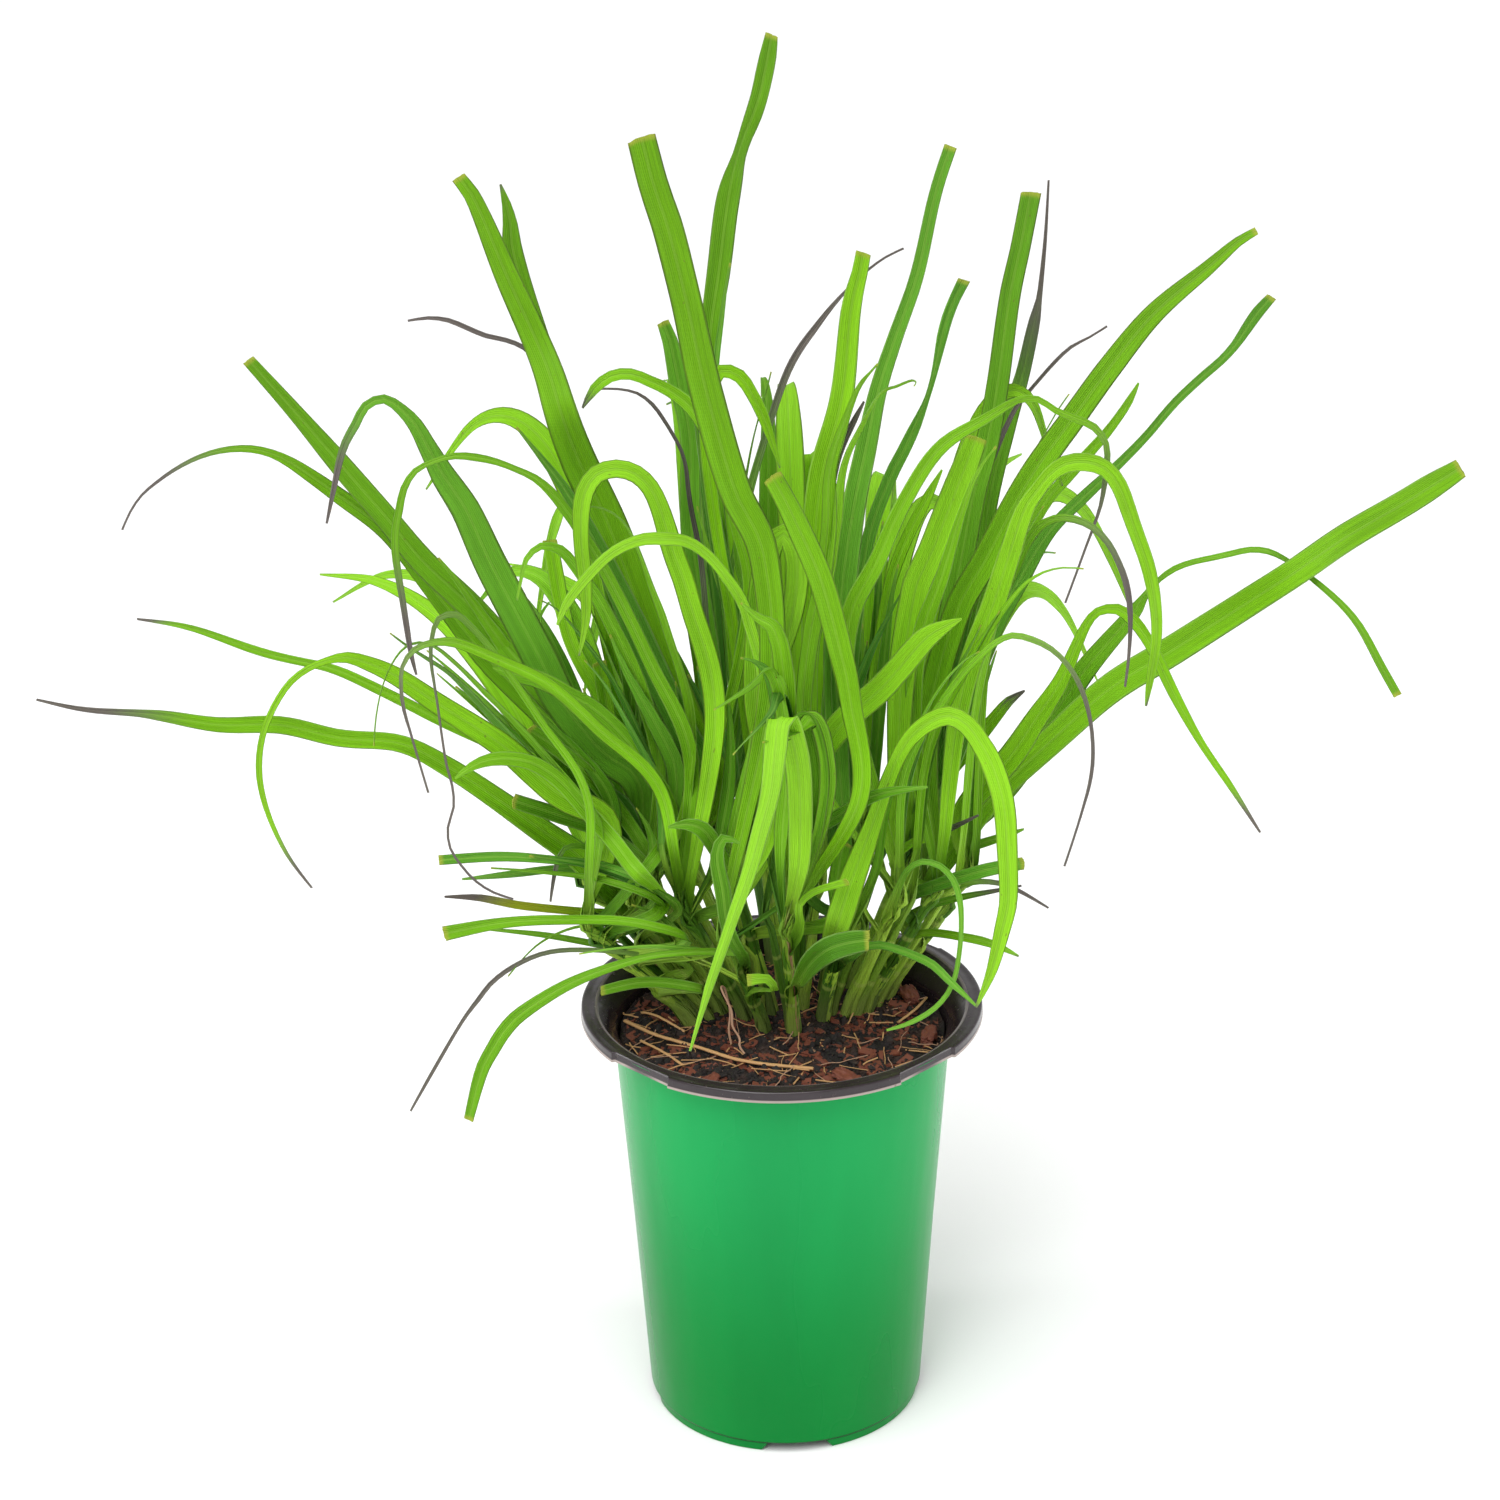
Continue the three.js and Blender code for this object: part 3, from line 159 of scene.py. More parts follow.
# Leaves, traced: name, stalk, depth at the start, depth at the tip, end and points. Depths are y in
# millimetres, and a leaf with no depth at its start takes its stalk's. Each point is across, down, width and
# twist in degrees in the picture's units, from stalk to tip. A cut leaf ends at its full width, and a tip
# runs out to a point.
TRACES = [
    ["A", 12, None, 75, "cut", [[745, 700, 16], [722, 560, 18], [708, 430, 20], [711, 340, 20],
      [720, 270, 24], [727, 200, 24], [739, 150, 18, 45], [757, 105, 18], [768, 60, 17], [773, 34, 13]]],
    ["B", 0, None, -55, "cut", [[770, 700, 24], [765, 560, 30], [735, 490, 34], [706, 388, 34],
      [688, 305, 32], [668, 233, 31], [654, 185, 30], [642, 137, 29]]],
    ["C", 6, None, 20, "cut", [[716, 800, 30], [690, 735, 42], [655, 650, 44], [610, 530, 40],
      [575, 450, 36], [545, 365, 30], [506, 275, 24], [474, 200, 17], [459, 177, 14]]],
    ["E", 16, None, 60, "tip", [[670, 760, 16], [625, 600, 20], [570, 430, 22], [528, 300, 20],
      [514, 250, 20], [508, 215, 12], [501, 183, 2]]],
    ["F", 17, None, 40, "tip", [[640, 700, 9], [590, 520, 8], [556, 400, 7], [528, 351, 5],
      [480, 333, 5], [455, 323, 5], [430, 318, 4], [408, 320, 2]]],
    ["A2", 18, None, 70, "cut", [[715, 700, 20], [692, 540, 22], [690, 440, 20], [680, 385, 20],
      [670, 345, 16], [662, 322, 12]]],
    ["I", 13, None, 20, "tip", [[735, 640, 12], [716, 520, 13], [706, 430, 14], [712, 385, 14],
      [725, 370, 14], [740, 377, 14], [752, 392, 13], [765, 420, 11], [780, 468, 5]]],
    ["J", 1, None, -60, "cut", [[858, 800, 18], [850, 700, 22], [840, 650, 25], [820, 580, 25],
      [800, 530, 24], [785, 500, 22], [772, 477, 20]]],
    ["I2", 9, None, 30, "cut", [[812, 700, 24], [815, 560, 26], [822, 480, 28], [840, 400, 24],
      [850, 310, 20], [858, 280, 17], [863, 253, 15]]],
    ["K", 3, None, 25, "cut", [[838, 720, 24], [840, 600, 30], [853, 510, 24], [867, 450, 22],
      [878, 390, 18], [895, 335, 16], [918, 275, 14], [934, 195, 13], [951, 147, 13]]],
    ["L", 14, None, 60, "cut", [[850, 680, 14], [866, 555, 14], [887, 485, 14], [910, 440, 12],
      [928, 390, 9, 50], [945, 330, 11], [955, 300, 11], [965, 280, 12]]],
    ["M", 15, None, 50, "cut", [[930, 720, 22], [960, 570, 26], [973, 500, 25], [988, 440, 24],
      [998, 380, 22], [1010, 300, 21], [1020, 250, 20], [1030, 193, 20]]],
    ["N", 20, None, 75, "tip", [[965, 640, 14], [990, 500, 18], [1008, 425, 18], [1022, 375, 15],
      [1033, 325, 12], [1039, 300, 6], [1045, 240, 4], [1048, 179, 2]]],
    ["O", 22, None, 50, "tip", [[950, 620, 8], [985, 480, 7], [1015, 412, 5], [1035, 385, 4],
      [1065, 350, 4], [1085, 340, 3], [1107, 327, 2]]],
    ["P", 4, None, -30, "tip", [[850, 700, 18], [850, 620, 20], [875, 565, 18], [905, 500, 16],
      [940, 450, 14], [985, 418, 11], [1020, 398, 8, 40], [1035, 399, 6], [1063, 415, 7], [1092, 425, 8],
      [1107, 445, 6], [1108, 470, 6], [1100, 505, 4], [1088, 545, 3], [1065, 603, 2]]],
    ["Q", 5, None, 15, "cut", [[925, 740, 26], [955, 620, 28], [985, 560, 28], [1030, 480, 27],
      [1075, 415, 26], [1112, 365, 24], [1155, 312, 20], [1210, 265, 14], [1235, 245, 10],
      [1256, 230, 8]]],
    ["R", 20, None, 90, "tip", [[990, 610, 12], [1040, 510, 12], [1075, 470, 12], [1108, 430, 10],
      [1130, 398, 7], [1139, 382, 2]]],
    ["S", 15, None, 65, "cut", [[985, 650, 18], [1020, 580, 20], [1050, 530, 14], [1085, 495, 12],
      [1112, 470, 10], [1145, 437, 9], [1175, 402, 8], [1205, 375, 9], [1225, 355, 9], [1240, 338, 10],
      [1255, 318, 12], [1271, 297, 10]]],
    ["T", 5, None, -45, "tip", [[960, 700, 22], [995, 600, 24], [1020, 520, 20], [1035, 495, 16],
      [1050, 475, 16], [1070, 464, 18], [1090, 463, 18], [1105, 470, 17], [1118, 485, 17],
      [1133, 525, 16], [1148, 570, 15], [1153, 620, 12], [1149, 680, 8], [1145, 705, 3]]],
    ["U", 11, None, -70, "tip", [[985, 660, 10], [1020, 560, 10], [1040, 527, 9], [1060, 517, 8],
      [1080, 520, 8], [1100, 535, 7], [1118, 560, 7], [1130, 595, 6], [1133, 640, 4], [1127, 687, 2]]],
    ["V", 11, None, -60, "tip", [[960, 820, 22], [1010, 760, 26], [1035, 720, 22], [1062, 680, 16],
      [1078, 640, 12], [1095, 614, 9], [1112, 609, 10], [1130, 615, 13], [1150, 645, 12],
      [1172, 690, 11], [1200, 740, 8], [1230, 785, 6], [1260, 832, 2]]],
    ["W", 22, None, 10, "cut", [[960, 830, 26], [1010, 780, 30], [1060, 705, 26], [1090, 665, 22],
      [1130, 615, 16], [1150, 588, 9, 50], [1180, 567, 6], [1225, 555, 6], [1250, 549, 6],
      [1275, 551, 6], [1300, 561, 5], [1327, 583, 6], [1355, 620, 8], [1380, 665, 9], [1399, 696, 8]]],
    ["X", 11, None, 60, "cut", [[930, 890, 22], [960, 840, 24], [1000, 790, 26], [1050, 740, 28],
      [1110, 690, 30], [1170, 652, 30], [1230, 612, 29], [1285, 577, 28], [1340, 540, 28],
      [1400, 505, 27], [1430, 487, 25], [1461, 469, 19]]],
    ["R9", 4, None, -80, "tip", [[905, 780, 9], [950, 690, 8], [1000, 640, 7], [1020, 637, 6],
      [1040, 643, 6], [1060, 657, 5], [1080, 685, 5], [1092, 725, 4], [1092, 770, 4], [1080, 820, 3],
      [1065, 866, 2]]],
    ["R13", 14, None, 20, "tip", [[835, 640, 10], [826, 540, 9], [828, 500, 9], [840, 455, 8],
      [855, 420, 6], [865, 400, 2]]],
    ["R15", 13, None, 40, "tip", [[765, 660, 10], [738, 560, 10], [748, 500, 9], [765, 440, 8],
      [785, 380, 8], [800, 350, 7], [820, 322, 6], [840, 298, 4], [875, 264, 3], [903, 248, 2]]],
    ["R17", 14, None, 30, "tip", [[875, 680, 12], [888, 590, 12], [905, 545, 12], [925, 505, 11],
      [942, 470, 4]]],
    ["R18", 4, None, -5, "cut", [[900, 700, 26], [915, 590, 30], [930, 560, 30], [945, 520, 30],
      [960, 480, 28], [977, 436, 22]]],
    ["AA", 7, None, 30, "cut", [[640, 800, 26], [590, 735, 30], [545, 690, 29], [475, 610, 28],
      [425, 562, 26], [385, 515, 24], [340, 465, 22], [295, 412, 16], [248, 360, 12]]],
    ["BB", 17, None, 15, "tip", [[610, 780, 26], [560, 730, 26], [490, 660, 24], [440, 600, 20],
      [390, 535, 18], [340, 497, 16], [300, 467, 12], [275, 455, 9], [250, 450, 7], [225, 450, 6],
      [200, 456, 5], [170, 472, 4], [138, 498, 3], [121, 530, 2]]],
    ["DD", 6, None, -35, "tip", [[640, 790, 32], [600, 750, 36], [560, 700, 36], [540, 660, 36],
      [515, 610, 34], [490, 560, 34], [465, 510, 30], [445, 480, 26], [430, 450, 20], [412, 420, 14],
      [395, 405, 10], [380, 399, 9], [366, 405, 9], [354, 425, 9], [343, 450, 8], [333, 490, 5],
      [328, 524, 2]]],
    ["EE", 2, None, -60, "tip", [[690, 760, 16], [650, 660, 14], [610, 580, 13], [575, 525, 12],
      [545, 485, 9], [525, 475, 6], [500, 464, 6], [475, 457, 8], [455, 456, 7], [430, 463, 6],
      [410, 478, 6], [398, 510, 8], [396, 545, 8], [402, 600, 7], [410, 650, 5], [416, 674, 2]]],
    ["FF", 17, None, 50, "tip", [[600, 800, 18], [560, 775, 16], [530, 757, 14], [500, 748, 12],
      [445, 722, 11], [400, 700, 11], [340, 672, 10], [310, 664, 9], [280, 657, 9], [250, 647, 9],
      [190, 628, 6], [137, 620, 3]]],
    ["GG", 10, None, -70, "tip", [[610, 830, 26], [560, 795, 28], [530, 770, 27], [500, 745, 26],
      [440, 705, 22], [390, 672, 18], [350, 658, 12], [330, 659, 8, 30], [300, 673, 6], [280, 695, 6],
      [263, 735, 6], [259, 775, 6], [268, 815, 5], [288, 856, 4], [312, 888, 2]]],
    ["HH", 7, None, -75, "tip", [[640, 920, 28], [580, 860, 28], [550, 838, 26], [500, 800, 22],
      [450, 768, 20], [400, 743, 18], [340, 737, 18], [280, 726, 18], [220, 724, 15], [165, 717, 12],
      [140, 712, 8], [85, 708, 5], [36, 700, 3]]],
    ["II", 2, None, -75, "tip", [[660, 790, 14], [600, 730, 13], [550, 685, 13], [500, 660, 12],
      [460, 643, 10], [440, 643, 8], [420, 648, 7], [408, 657, 5], [402, 675, 4], [404, 703, 4],
      [412, 735, 3], [429, 792, 2]]],
    ["JJ", 10, None, -85, "tip", [[590, 800, 9], [540, 720, 8], [490, 650, 7], [465, 622, 7],
      [447, 612, 6], [435, 625, 5], [431, 655, 4], [436, 700, 3], [447, 760, 3], [455, 800, 3],
      [448, 835, 2], [460, 865, 2], [485, 887, 2], [513, 899, 1]]],
    ["G", 12, None, -15, "tip", [[748, 620, 12], [735, 520, 13], [715, 450, 14], [695, 410, 14],
      [672, 393, 13], [650, 382, 12], [628, 374, 12], [610, 375, 12], [595, 383, 12], [580, 402, 4]]],
    ["G2", 18, None, 10, "tip", [[705, 600, 6], [690, 500, 5], [683, 455, 4], [668, 425, 4],
      [650, 403, 4], [630, 391, 3], [598, 389, 2]]],
    ["H", 2, None, -45, "tip", [[715, 720, 22], [690, 600, 22], [672, 550, 22], [662, 510, 20],
      [650, 488, 19], [630, 470, 19], [608, 469, 19], [592, 478, 19], [583, 500, 18], [581, 540, 16],
      [584, 580, 14], [587, 620, 9], [580, 656, 2]]],
    ["M1", 16, None, 60, "cut", [[650, 760, 12], [610, 710, 14], [575, 650, 14], [562, 600, 16],
      [555, 570, 16], [550, 541, 15]]],
    ["M2", 6, None, -40, "tip", [[660, 780, 14], [640, 690, 16], [605, 610, 14], [582, 575, 12],
      [562, 552, 10], [545, 545, 8], [530, 553, 6], [521, 575, 4], [517, 600, 2]]],
    ["M4", 16, None, 10, "tip", [[625, 770, 6], [590, 715, 5], [555, 670, 5], [542, 640, 5],
      [541, 615, 4], [550, 603, 2]]],
    ["M5", 16, None, 30, "cut", [[640, 800, 14], [612, 740, 16], [605, 700, 16], [598, 661, 15]]],
    ["M6", 8, None, -60, "tip", [[765, 720, 12], [748, 615, 12], [730, 585, 12], [715, 562, 11],
      [690, 543, 12], [660, 538, 13], [635, 542, 12], [610, 555, 11], [585, 578, 11], [568, 602, 9],
      [558, 624, 3]]],
    ["M8", 10, None, -20, "tip", [[670, 830, 16], [640, 760, 18], [600, 715, 18], [570, 695, 18],
      [540, 680, 18], [515, 674, 17], [492, 668, 14]]],
    ["M9", 6, None, -25, "cut", [[650, 860, 14], [600, 790, 16], [565, 755, 16], [529, 730, 15]]],
    ["M10", 6, None, -30, "cut", [[650, 870, 15], [600, 832, 16], [560, 818, 16], [512, 802, 15]]],
    ["M11", 10, None, -40, "tip", [[665, 905, 16], [630, 860, 18], [590, 815, 17], [560, 782, 16],
      [530, 762, 15], [500, 758, 14], [475, 765, 10], [456, 778, 4]]],
    ["L1", 10, None, -30, "cut", [[660, 895, 9], [620, 870, 9], [555, 861, 9], [500, 857, 10],
      [438, 861, 10]]],
    ["L2", 7, None, 0, "tip", [[660, 880, 9], [620, 871, 9], [560, 870, 8], [510, 875, 7],
      [463, 879, 3]]],
    ["L3", 17, None, 5, "tip", [[680, 930, 10], [650, 918, 10], [580, 911, 9], [520, 905, 8],
      [480, 899, 7], [445, 896, 2]]],
    ["L4", 10, None, -45, "cut", [[690, 940, 10], [640, 922, 10], [560, 920, 10], [500, 924, 11],
      [444, 933, 15]]],
    ["L5", 17, None, 25, "tip", [[690, 965, 7], [660, 957, 8], [600, 944, 7], [540, 935, 6],
      [480, 929, 3]]],
    ["L6", 10, None, -20, "tip", [[690, 968, 5], [650, 958, 5], [595, 951, 5], [545, 953, 5],
      [500, 976, 5], [480, 998, 5], [460, 1025, 4], [430, 1075, 4], [411, 1111, 2]]],
    ["L7", 0, None, -45, "cut", [[745, 955, 9], [725, 954, 9], [690, 953, 8], [650, 957, 8],
      [600, 970, 10], [560, 990, 12], [515, 1020, 15], [495, 1045, 15], [482, 1070, 14],
      [468, 1121, 10]]],
    ["L8", 10, None, -25, "cut", [[705, 990, 9], [665, 982, 11], [635, 983, 11], [600, 990, 10]]],
    ["KK", 6, None, -35, "tip", [[640, 880, 6], [590, 850, 6], [565, 848, 5], [553, 868, 5],
      [548, 903, 2]]],
    ["C1", 8, None, -42, "tip", [[766, 800, 20], [757, 700, 24], [757, 640, 26], [762, 585, 26],
      [773, 545, 24], [786, 534, 24], [797, 552, 24], [796, 590, 23], [788, 628, 19], [778, 662, 13],
      [770, 692, 4]]],
    ["C2", 1, None, -150, "tip", [[800, 860, 22], [800, 780, 26], [790, 735, 26], [780, 714, 26],
      [776, 745, 24], [770, 790, 20], [760, 830, 18], [747, 875, 15], [733, 920, 12], [712, 980, 9],
      [700, 1015, 6], [690, 1051, 3]]],
    ["C3", 3, None, -110, "tip", [[830, 940, 26], [845, 900, 28], [860, 860, 24], [875, 820, 18],
      [890, 780, 16], [905, 745, 15], [925, 724, 18], [945, 716, 20], [962, 721, 20], [977, 737, 20],
      [992, 765, 22], [1003, 805, 22], [1008, 850, 21], [1007, 900, 19], [1002, 935, 16], [991, 972, 11],
      [976, 1007, 4]]],
    ["C4", 9, None, -35, "tip", [[798, 900, 22], [795, 850, 24], [795, 810, 26], [805, 775, 27],
      [825, 745, 28], [850, 715, 28], [880, 690, 27], [905, 660, 26], [930, 635, 22], [962, 620, 12]]],
    ["C5", 3, None, -60, "tip", [[812, 900, 12], [800, 860, 14], [808, 835, 14], [840, 815, 14],
      [880, 795, 12], [927, 788, 4]]],
    ["C6", 1, None, -45, "cut", [[800, 930, 8], [800, 905, 8], [815, 893, 8], [847, 882, 8]]],
    ["C7", 8, None, -25, "cut", [[830, 920, 16], [836, 885, 18], [843, 842, 18]]],
    ["C8", 0, None, -40, "tip", [[745, 960, 12], [730, 930, 14], [722, 890, 16], [718, 855, 14],
      [728, 835, 9], [741, 842, 4]]],
    ["C9", 2, None, -35, "tip", [[735, 900, 14], [722, 860, 16], [700, 826, 16], [668, 828, 8]]],
    ["C10", 4, None, -75, "tip", [[893, 905, 7], [905, 870, 6], [925, 862, 6], [944, 870, 6],
      [957, 893, 6], [961, 930, 5], [955, 980, 5], [938, 1006, 5], [915, 1022, 5], [888, 1031, 5]]],
    ["C11", 1, None, -45, "cut", [[798, 985, 14], [812, 960, 24], [835, 945, 26], [868, 939, 20]]],
    ["C12", 3, None, -50, "tip", [[850, 960, 9], [875, 945, 9], [925, 960, 9], [950, 980, 8],
      [975, 1004, 3]]],
    ["C13", 0, None, -38, "cut", [[775, 990, 8], [768, 978, 10], [748, 978, 12]]],
    ["R2", 5, None, -30, "cut", [[905, 905, 12], [940, 885, 14], [985, 870, 14], [1024, 863, 12]]],
    ["R3", 11, None, -10, "tip", [[905, 925, 7], [920, 912, 7], [960, 900, 7], [1022, 885, 3]]],
    ["R4", 11, None, 20, "tip", [[930, 895, 6], [975, 882, 6], [1010, 886, 5], [1049, 908, 2]]],
    ["R6", 5, None, -15, "tip", [[900, 945, 9], [925, 935, 9], [955, 936, 9], [990, 943, 8],
      [1019, 956, 3]]],
    ["R8", 11, None, 0, "tip", [[895, 870, 8], [910, 845, 8], [935, 838, 8], [979, 816, 3]]],
    ["R1", 11, None, 40, "tip", [[930, 880, 10], [965, 852, 10], [1000, 838, 8], [1023, 829, 3]]],
    ["R20", 22, None, 60, "tip", [[940, 790, 14], [980, 735, 14], [1010, 700, 10], [1025, 690, 3]]],
]

# Stalks at the back of the clump carry leaves drawn from a seed as well.
BACK_STALKS = range(15, 25)
BACK_LEAVES_EACH = 2
BACK_SEED = 123
BACK_POINTS = 5
BACK_APART = 0.5
BACK_WANDER = 0.3
BACK_OUTWARDS = 1.3
BACK_LIMIT = 150.0
BACK_SPREAD = 0.014
BACK_FAN = 0.9
BACK_REACH = (60.0, 170.0)
BACK_RISE = (70.0, 190.0)
BACK_PEAK = (0.5, 0.9)
BACK_WIDTH = (8.0, 13.0)
BACK_BASE_WIDTH = 0.6
BACK_WIDEST = 0.4
BACK_NARROWING = 1.5
BACK_TWIST = 60.0

# Shorter leaves inside the clump, from its stalks and from thin shoots between them.
INNER_LEAVES = 72
SHOOTS = 38
INNER_SEED = 77
INNER_LEAST = 110.0
INNER_REACH = (0.3, 0.85)
INNER_TWIST = 2.8
INNER_NEAREST = 4
INNER_SWAY = 22.0
INNER_WIDTH = 0.85
SHOOT_SPREAD = 7.0

# Litter, name: radius, slot, points, each point x, y and height over the mix.
LITTER = {
    "straw_long": (1.0, "straw", [[-65, 5, 1.5], [-52, -8, 1], [-35, -20, 1], [-15, -32, 1], [12, -40, 1.2]]),
    "straw_short_1": (0.7, "straw", [[-60, 14, 1], [-52, 4, 3.6], [-40, -4, 1]]),
    "straw_short_2": (0.7, "straw", [[-58, -12, 1.3], [-48, -24, 1.4], [-40, -34, 1.3]]),
    "straw_short_3": (0.7, "straw", [[48, 2, 1], [56, 12, 1.4], [61, 24, 1]]),
    "root_loop": (
        0.9,
        "root",
        [
            [-21, -17, 1.4], [-21.8, -15.8, 7], [-21.2, -14, 14], [-22.2, -13, 20], [-23.4, -13.4, 25],
            [-24.6, -15.4, 26.4], [-23.4, -17.6, 24], [-20.6, -20, 18], [-20.2, -22, 12],
            [-17.6, -23.6, 7], [-17.4, -25, 4], [-15.6, -26.4, 1.2],
        ],
    ),
}

# Bark chips, x, y, turn, length, width, height.
CHIPS = [
    [54, 24, 100, 12, 7, 3],
    [-30, -50, 60, 11, 6, 3],
    [25, -48, 130, 12, 7, 3],
    [60, -12, 80, 12, 6, 3],
]


# Node trees written as expressions.


def arithmetic(operation, flipped=False):
    """A method of a signal that adds a Math node."""

    def method(self, value):
        return self.graph.math(operation, *((value, self) if flipped else (self, value)))

    return method


class Signal:
    """One output of a node, with arithmetic that adds Math nodes."""

    __add__ = __radd__ = arithmetic("ADD")
    __sub__ = arithmetic("SUBTRACT")
    __rsub__ = arithmetic("SUBTRACT", flipped=True)
    __mul__ = __rmul__ = arithmetic("MULTIPLY")
    __truediv__ = arithmetic("DIVIDE")
    __pow__ = arithmetic("POWER")

    def __init__(self, graph, socket):
        self.graph = graph
        self.socket = socket

    def __abs__(self):
        return self.graph.math("ABSOLUTE", self)


class Graph:
    """A node tree, of a material, of the world or of a modifier."""

    def __init__(self, tree):
        self.tree = tree

    def node(self, kind, sockets=None, output=0, **settings):
        """Adds a node, and gives one of its outputs."""
        made = self.tree.nodes.new(kind)
        for name, value in settings.items():
            setattr(made, name, value)
        for key, value in (sockets or {}).items():
            self.feed(made.inputs[key], value)
        return Signal(self, made.outputs[output])

    def feed(self, socket, value):
        if isinstance(value, Signal):
            self.tree.links.new(value.socket, socket)
        else:
            socket.default_value = value

    def close(self, kind, result):
        """Adds the node that the tree ends in."""
        self.feed(self.tree.nodes.new(kind).inputs[0], result)

    def math(self, operation, *values):
        return self.node("ShaderNodeMath", dict(enumerate(values)), operation=operation)

    def vector(self, operation, *values):
        return self.node("ShaderNodeVectorMath", dict(enumerate(values)), operation=operation)

    def scaled(self, vector, factor):
        """A vector or a colour times a number."""
        return self.node("ShaderNodeVectorMath", {0: vector, "Scale": factor}, operation="SCALE")

    def joined(self, x, y, z):
        return self.node("ShaderNodeCombineXYZ", {0: x, 1: y, 2: z})

    def part(self, vector, axis):
        return self.node("ShaderNodeSeparateXYZ", {0: vector}, axis)

    def from_axis(self, place):
        """How far a place is from the upright axis."""
        flat = self.vector("MULTIPLY", place, (1.0, 1.0, 0.0))
        return self.node("ShaderNodeVectorMath", {0: flat}, "Value", operation="LENGTH")

    def ramp01(self, value, low, high):
        """0 below low and 1 above high, smooth between."""
        sockets = {"Value": value, "From Min": low, "From Max": high}
        return self.node("ShaderNodeMapRange", sockets, interpolation_type="SMOOTHSTEP")

    def fall01(self, value, low, high):
        """1 below low and 0 above high, smooth between."""
        return 1.0 - self.ramp01(value, low, high)

    def noise(self, vector, scale, detail=2.0, roughness=0.5, output=0):
        sockets = {"Vector": vector, "Scale": scale, "Detail": detail, "Roughness": roughness}
        return self.node("ShaderNodeTexNoise", sockets, output)

    def blend(self, first, second, factor):
        """The first colour where factor is 0 and the second where it is 1."""
        ends = [end if isinstance(end, Signal) else (*end, 1.0) for end in (first, second)]
        return self.node("ShaderNodeMix", {0: factor, 6: ends[0], 7: ends[1]}, 2, data_type="RGBA")

    def three_colours(self, low, middle, high, value):
        """The first colour where value is 0, the second where it is 0.5 and the third where it is 1."""
        made = self.node("ShaderNodeValToRGB", {0: value})
        elements = made.socket.node.color_ramp.elements
        elements[0].color = (*low, 1.0)
        elements[1].color = (*high, 1.0)
        elements.new(0.5).color = (*middle, 1.0)
        return made


# Meshes.


def add_object(name, data):
    made = bpy.data.objects.new(name, data)
    bpy.context.scene.collection.objects.link(made)
    return made


def mesh_object(name, vertices, edges, faces):
    """An object whose vertices are given in millimetres."""
    mesh = bpy.data.meshes.new(name)
    mesh.from_pydata([[c * MM for c in v] for v in vertices], edges, faces)
    mesh.validate()
    mesh.shade_smooth()
    return add_object(name, mesh)


def face_outwards(mesh, smooth=True):
    """Turns a mesh's faces outwards, and shades them."""
    work = bmesh.new()
    work.from_mesh(mesh)
    bmesh.ops.recalc_face_normals(work, faces=work.faces)
    work.to_mesh(mesh)
    work.free()
    if smooth:
        mesh.shade_smooth()
    else:
        mesh.shade_flat()


def apply_modifier(made, modifier):
    """Gives the object the mesh that its modifier makes of it, with no modifier left."""
    depsgraph = bpy.context.evaluated_depsgraph_get()
    mesh = bpy.data.meshes.new_from_object(made.evaluated_get(depsgraph), depsgraph=depsgraph)
    made.modifiers.remove(modifier)
    spent = made.data
    made.data = mesh
    bpy.data.meshes.remove(spent)
    mesh.name = made.name


def run_tree(made, tree, values, smooth=True):
    """Gives the object the mesh that a Geometry Nodes tree makes of it, facing outwards."""
    modifier = made.modifiers.new("nodes", "NODES")
    modifier.node_group = tree
    for item in tree.interface.items_tree:
        if item.item_type == "SOCKET" and item.in_out == "INPUT" and item.name in values:
            modifier[item.identifier] = values[item.name]
    apply_modifier(made, modifier)
    if not len(made.data.polygons):
        raise RuntimeError(f"the tree made nothing of {made.name}")
    face_outwards(made.data, smooth)


def finish_piece(made, slot, *nodes):
    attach(made, BODY)
    if nodes:
        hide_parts(*nodes)


# Parts of Geometry Nodes trees.


def new_tree(name, sockets):
    """A modifier tree with named inputs, as the graph and its inputs by name."""
    tree = bpy.data.node_groups.new(name, "GeometryNodeTree")
    tree.is_modifier = True
    for label, kind in sockets.items():
        tree.interface.new_socket(label, in_out="INPUT", socket_type="NodeSocket" + kind)
    tree.interface.new_socket("Geometry", in_out="OUTPUT", socket_type="NodeSocketGeometry")
    graph = Graph(tree)
    entry = tree.nodes.new("NodeGroupInput")
    return graph, {label: Signal(graph, entry.outputs[label]) for label in sockets}


def end_tree(graph, geometry, material, *spent):
    """Drops spent attributes, realizes what is left of instances, sets the material and closes the tree."""
    for name in spent:
        geometry = graph.node("GeometryNodeRemoveAttribute", {"Geometry": geometry, "Name": name})
    geometry = graph.node("GeometryNodeRealizeInstances", {0: geometry})
    geometry = graph.node("GeometryNodeSetMaterial", {"Geometry": geometry, "Material": material})
    graph.close("NodeGroupOutput", geometry)
    return graph.tree


def stored(graph, *names, kind="FLOAT"):
    """The values that the points carry by some names."""
    return [graph.node("GeometryNodeInputNamedAttribute", {"Name": name}, data_type=kind) for name in names]


def store(graph, geometry, **values):
    """Stores values on the points by name."""
    for name, value in values.items():
        sockets = {"Geometry": geometry, "Name": name, "Value": value}
        geometry = graph.node("GeometryNodeStoreNamedAttribute", sockets, data_type="FLOAT", domain="POINT")
    return geometry


def smooth_curves(graph, geometry, steps):
    """Chains of edges as smooth curves, with a number of steps from each point to the next."""
    line = graph.node("GeometryNodeMeshToCurve", {0: geometry})
    line = graph.node("GeometryNodeCurveSplineType", {0: line}, spline_type="CATMULL_ROM")
    return graph.node("GeometryNodeSetSplineResolution", {"Geometry": line, "Resolution": steps})


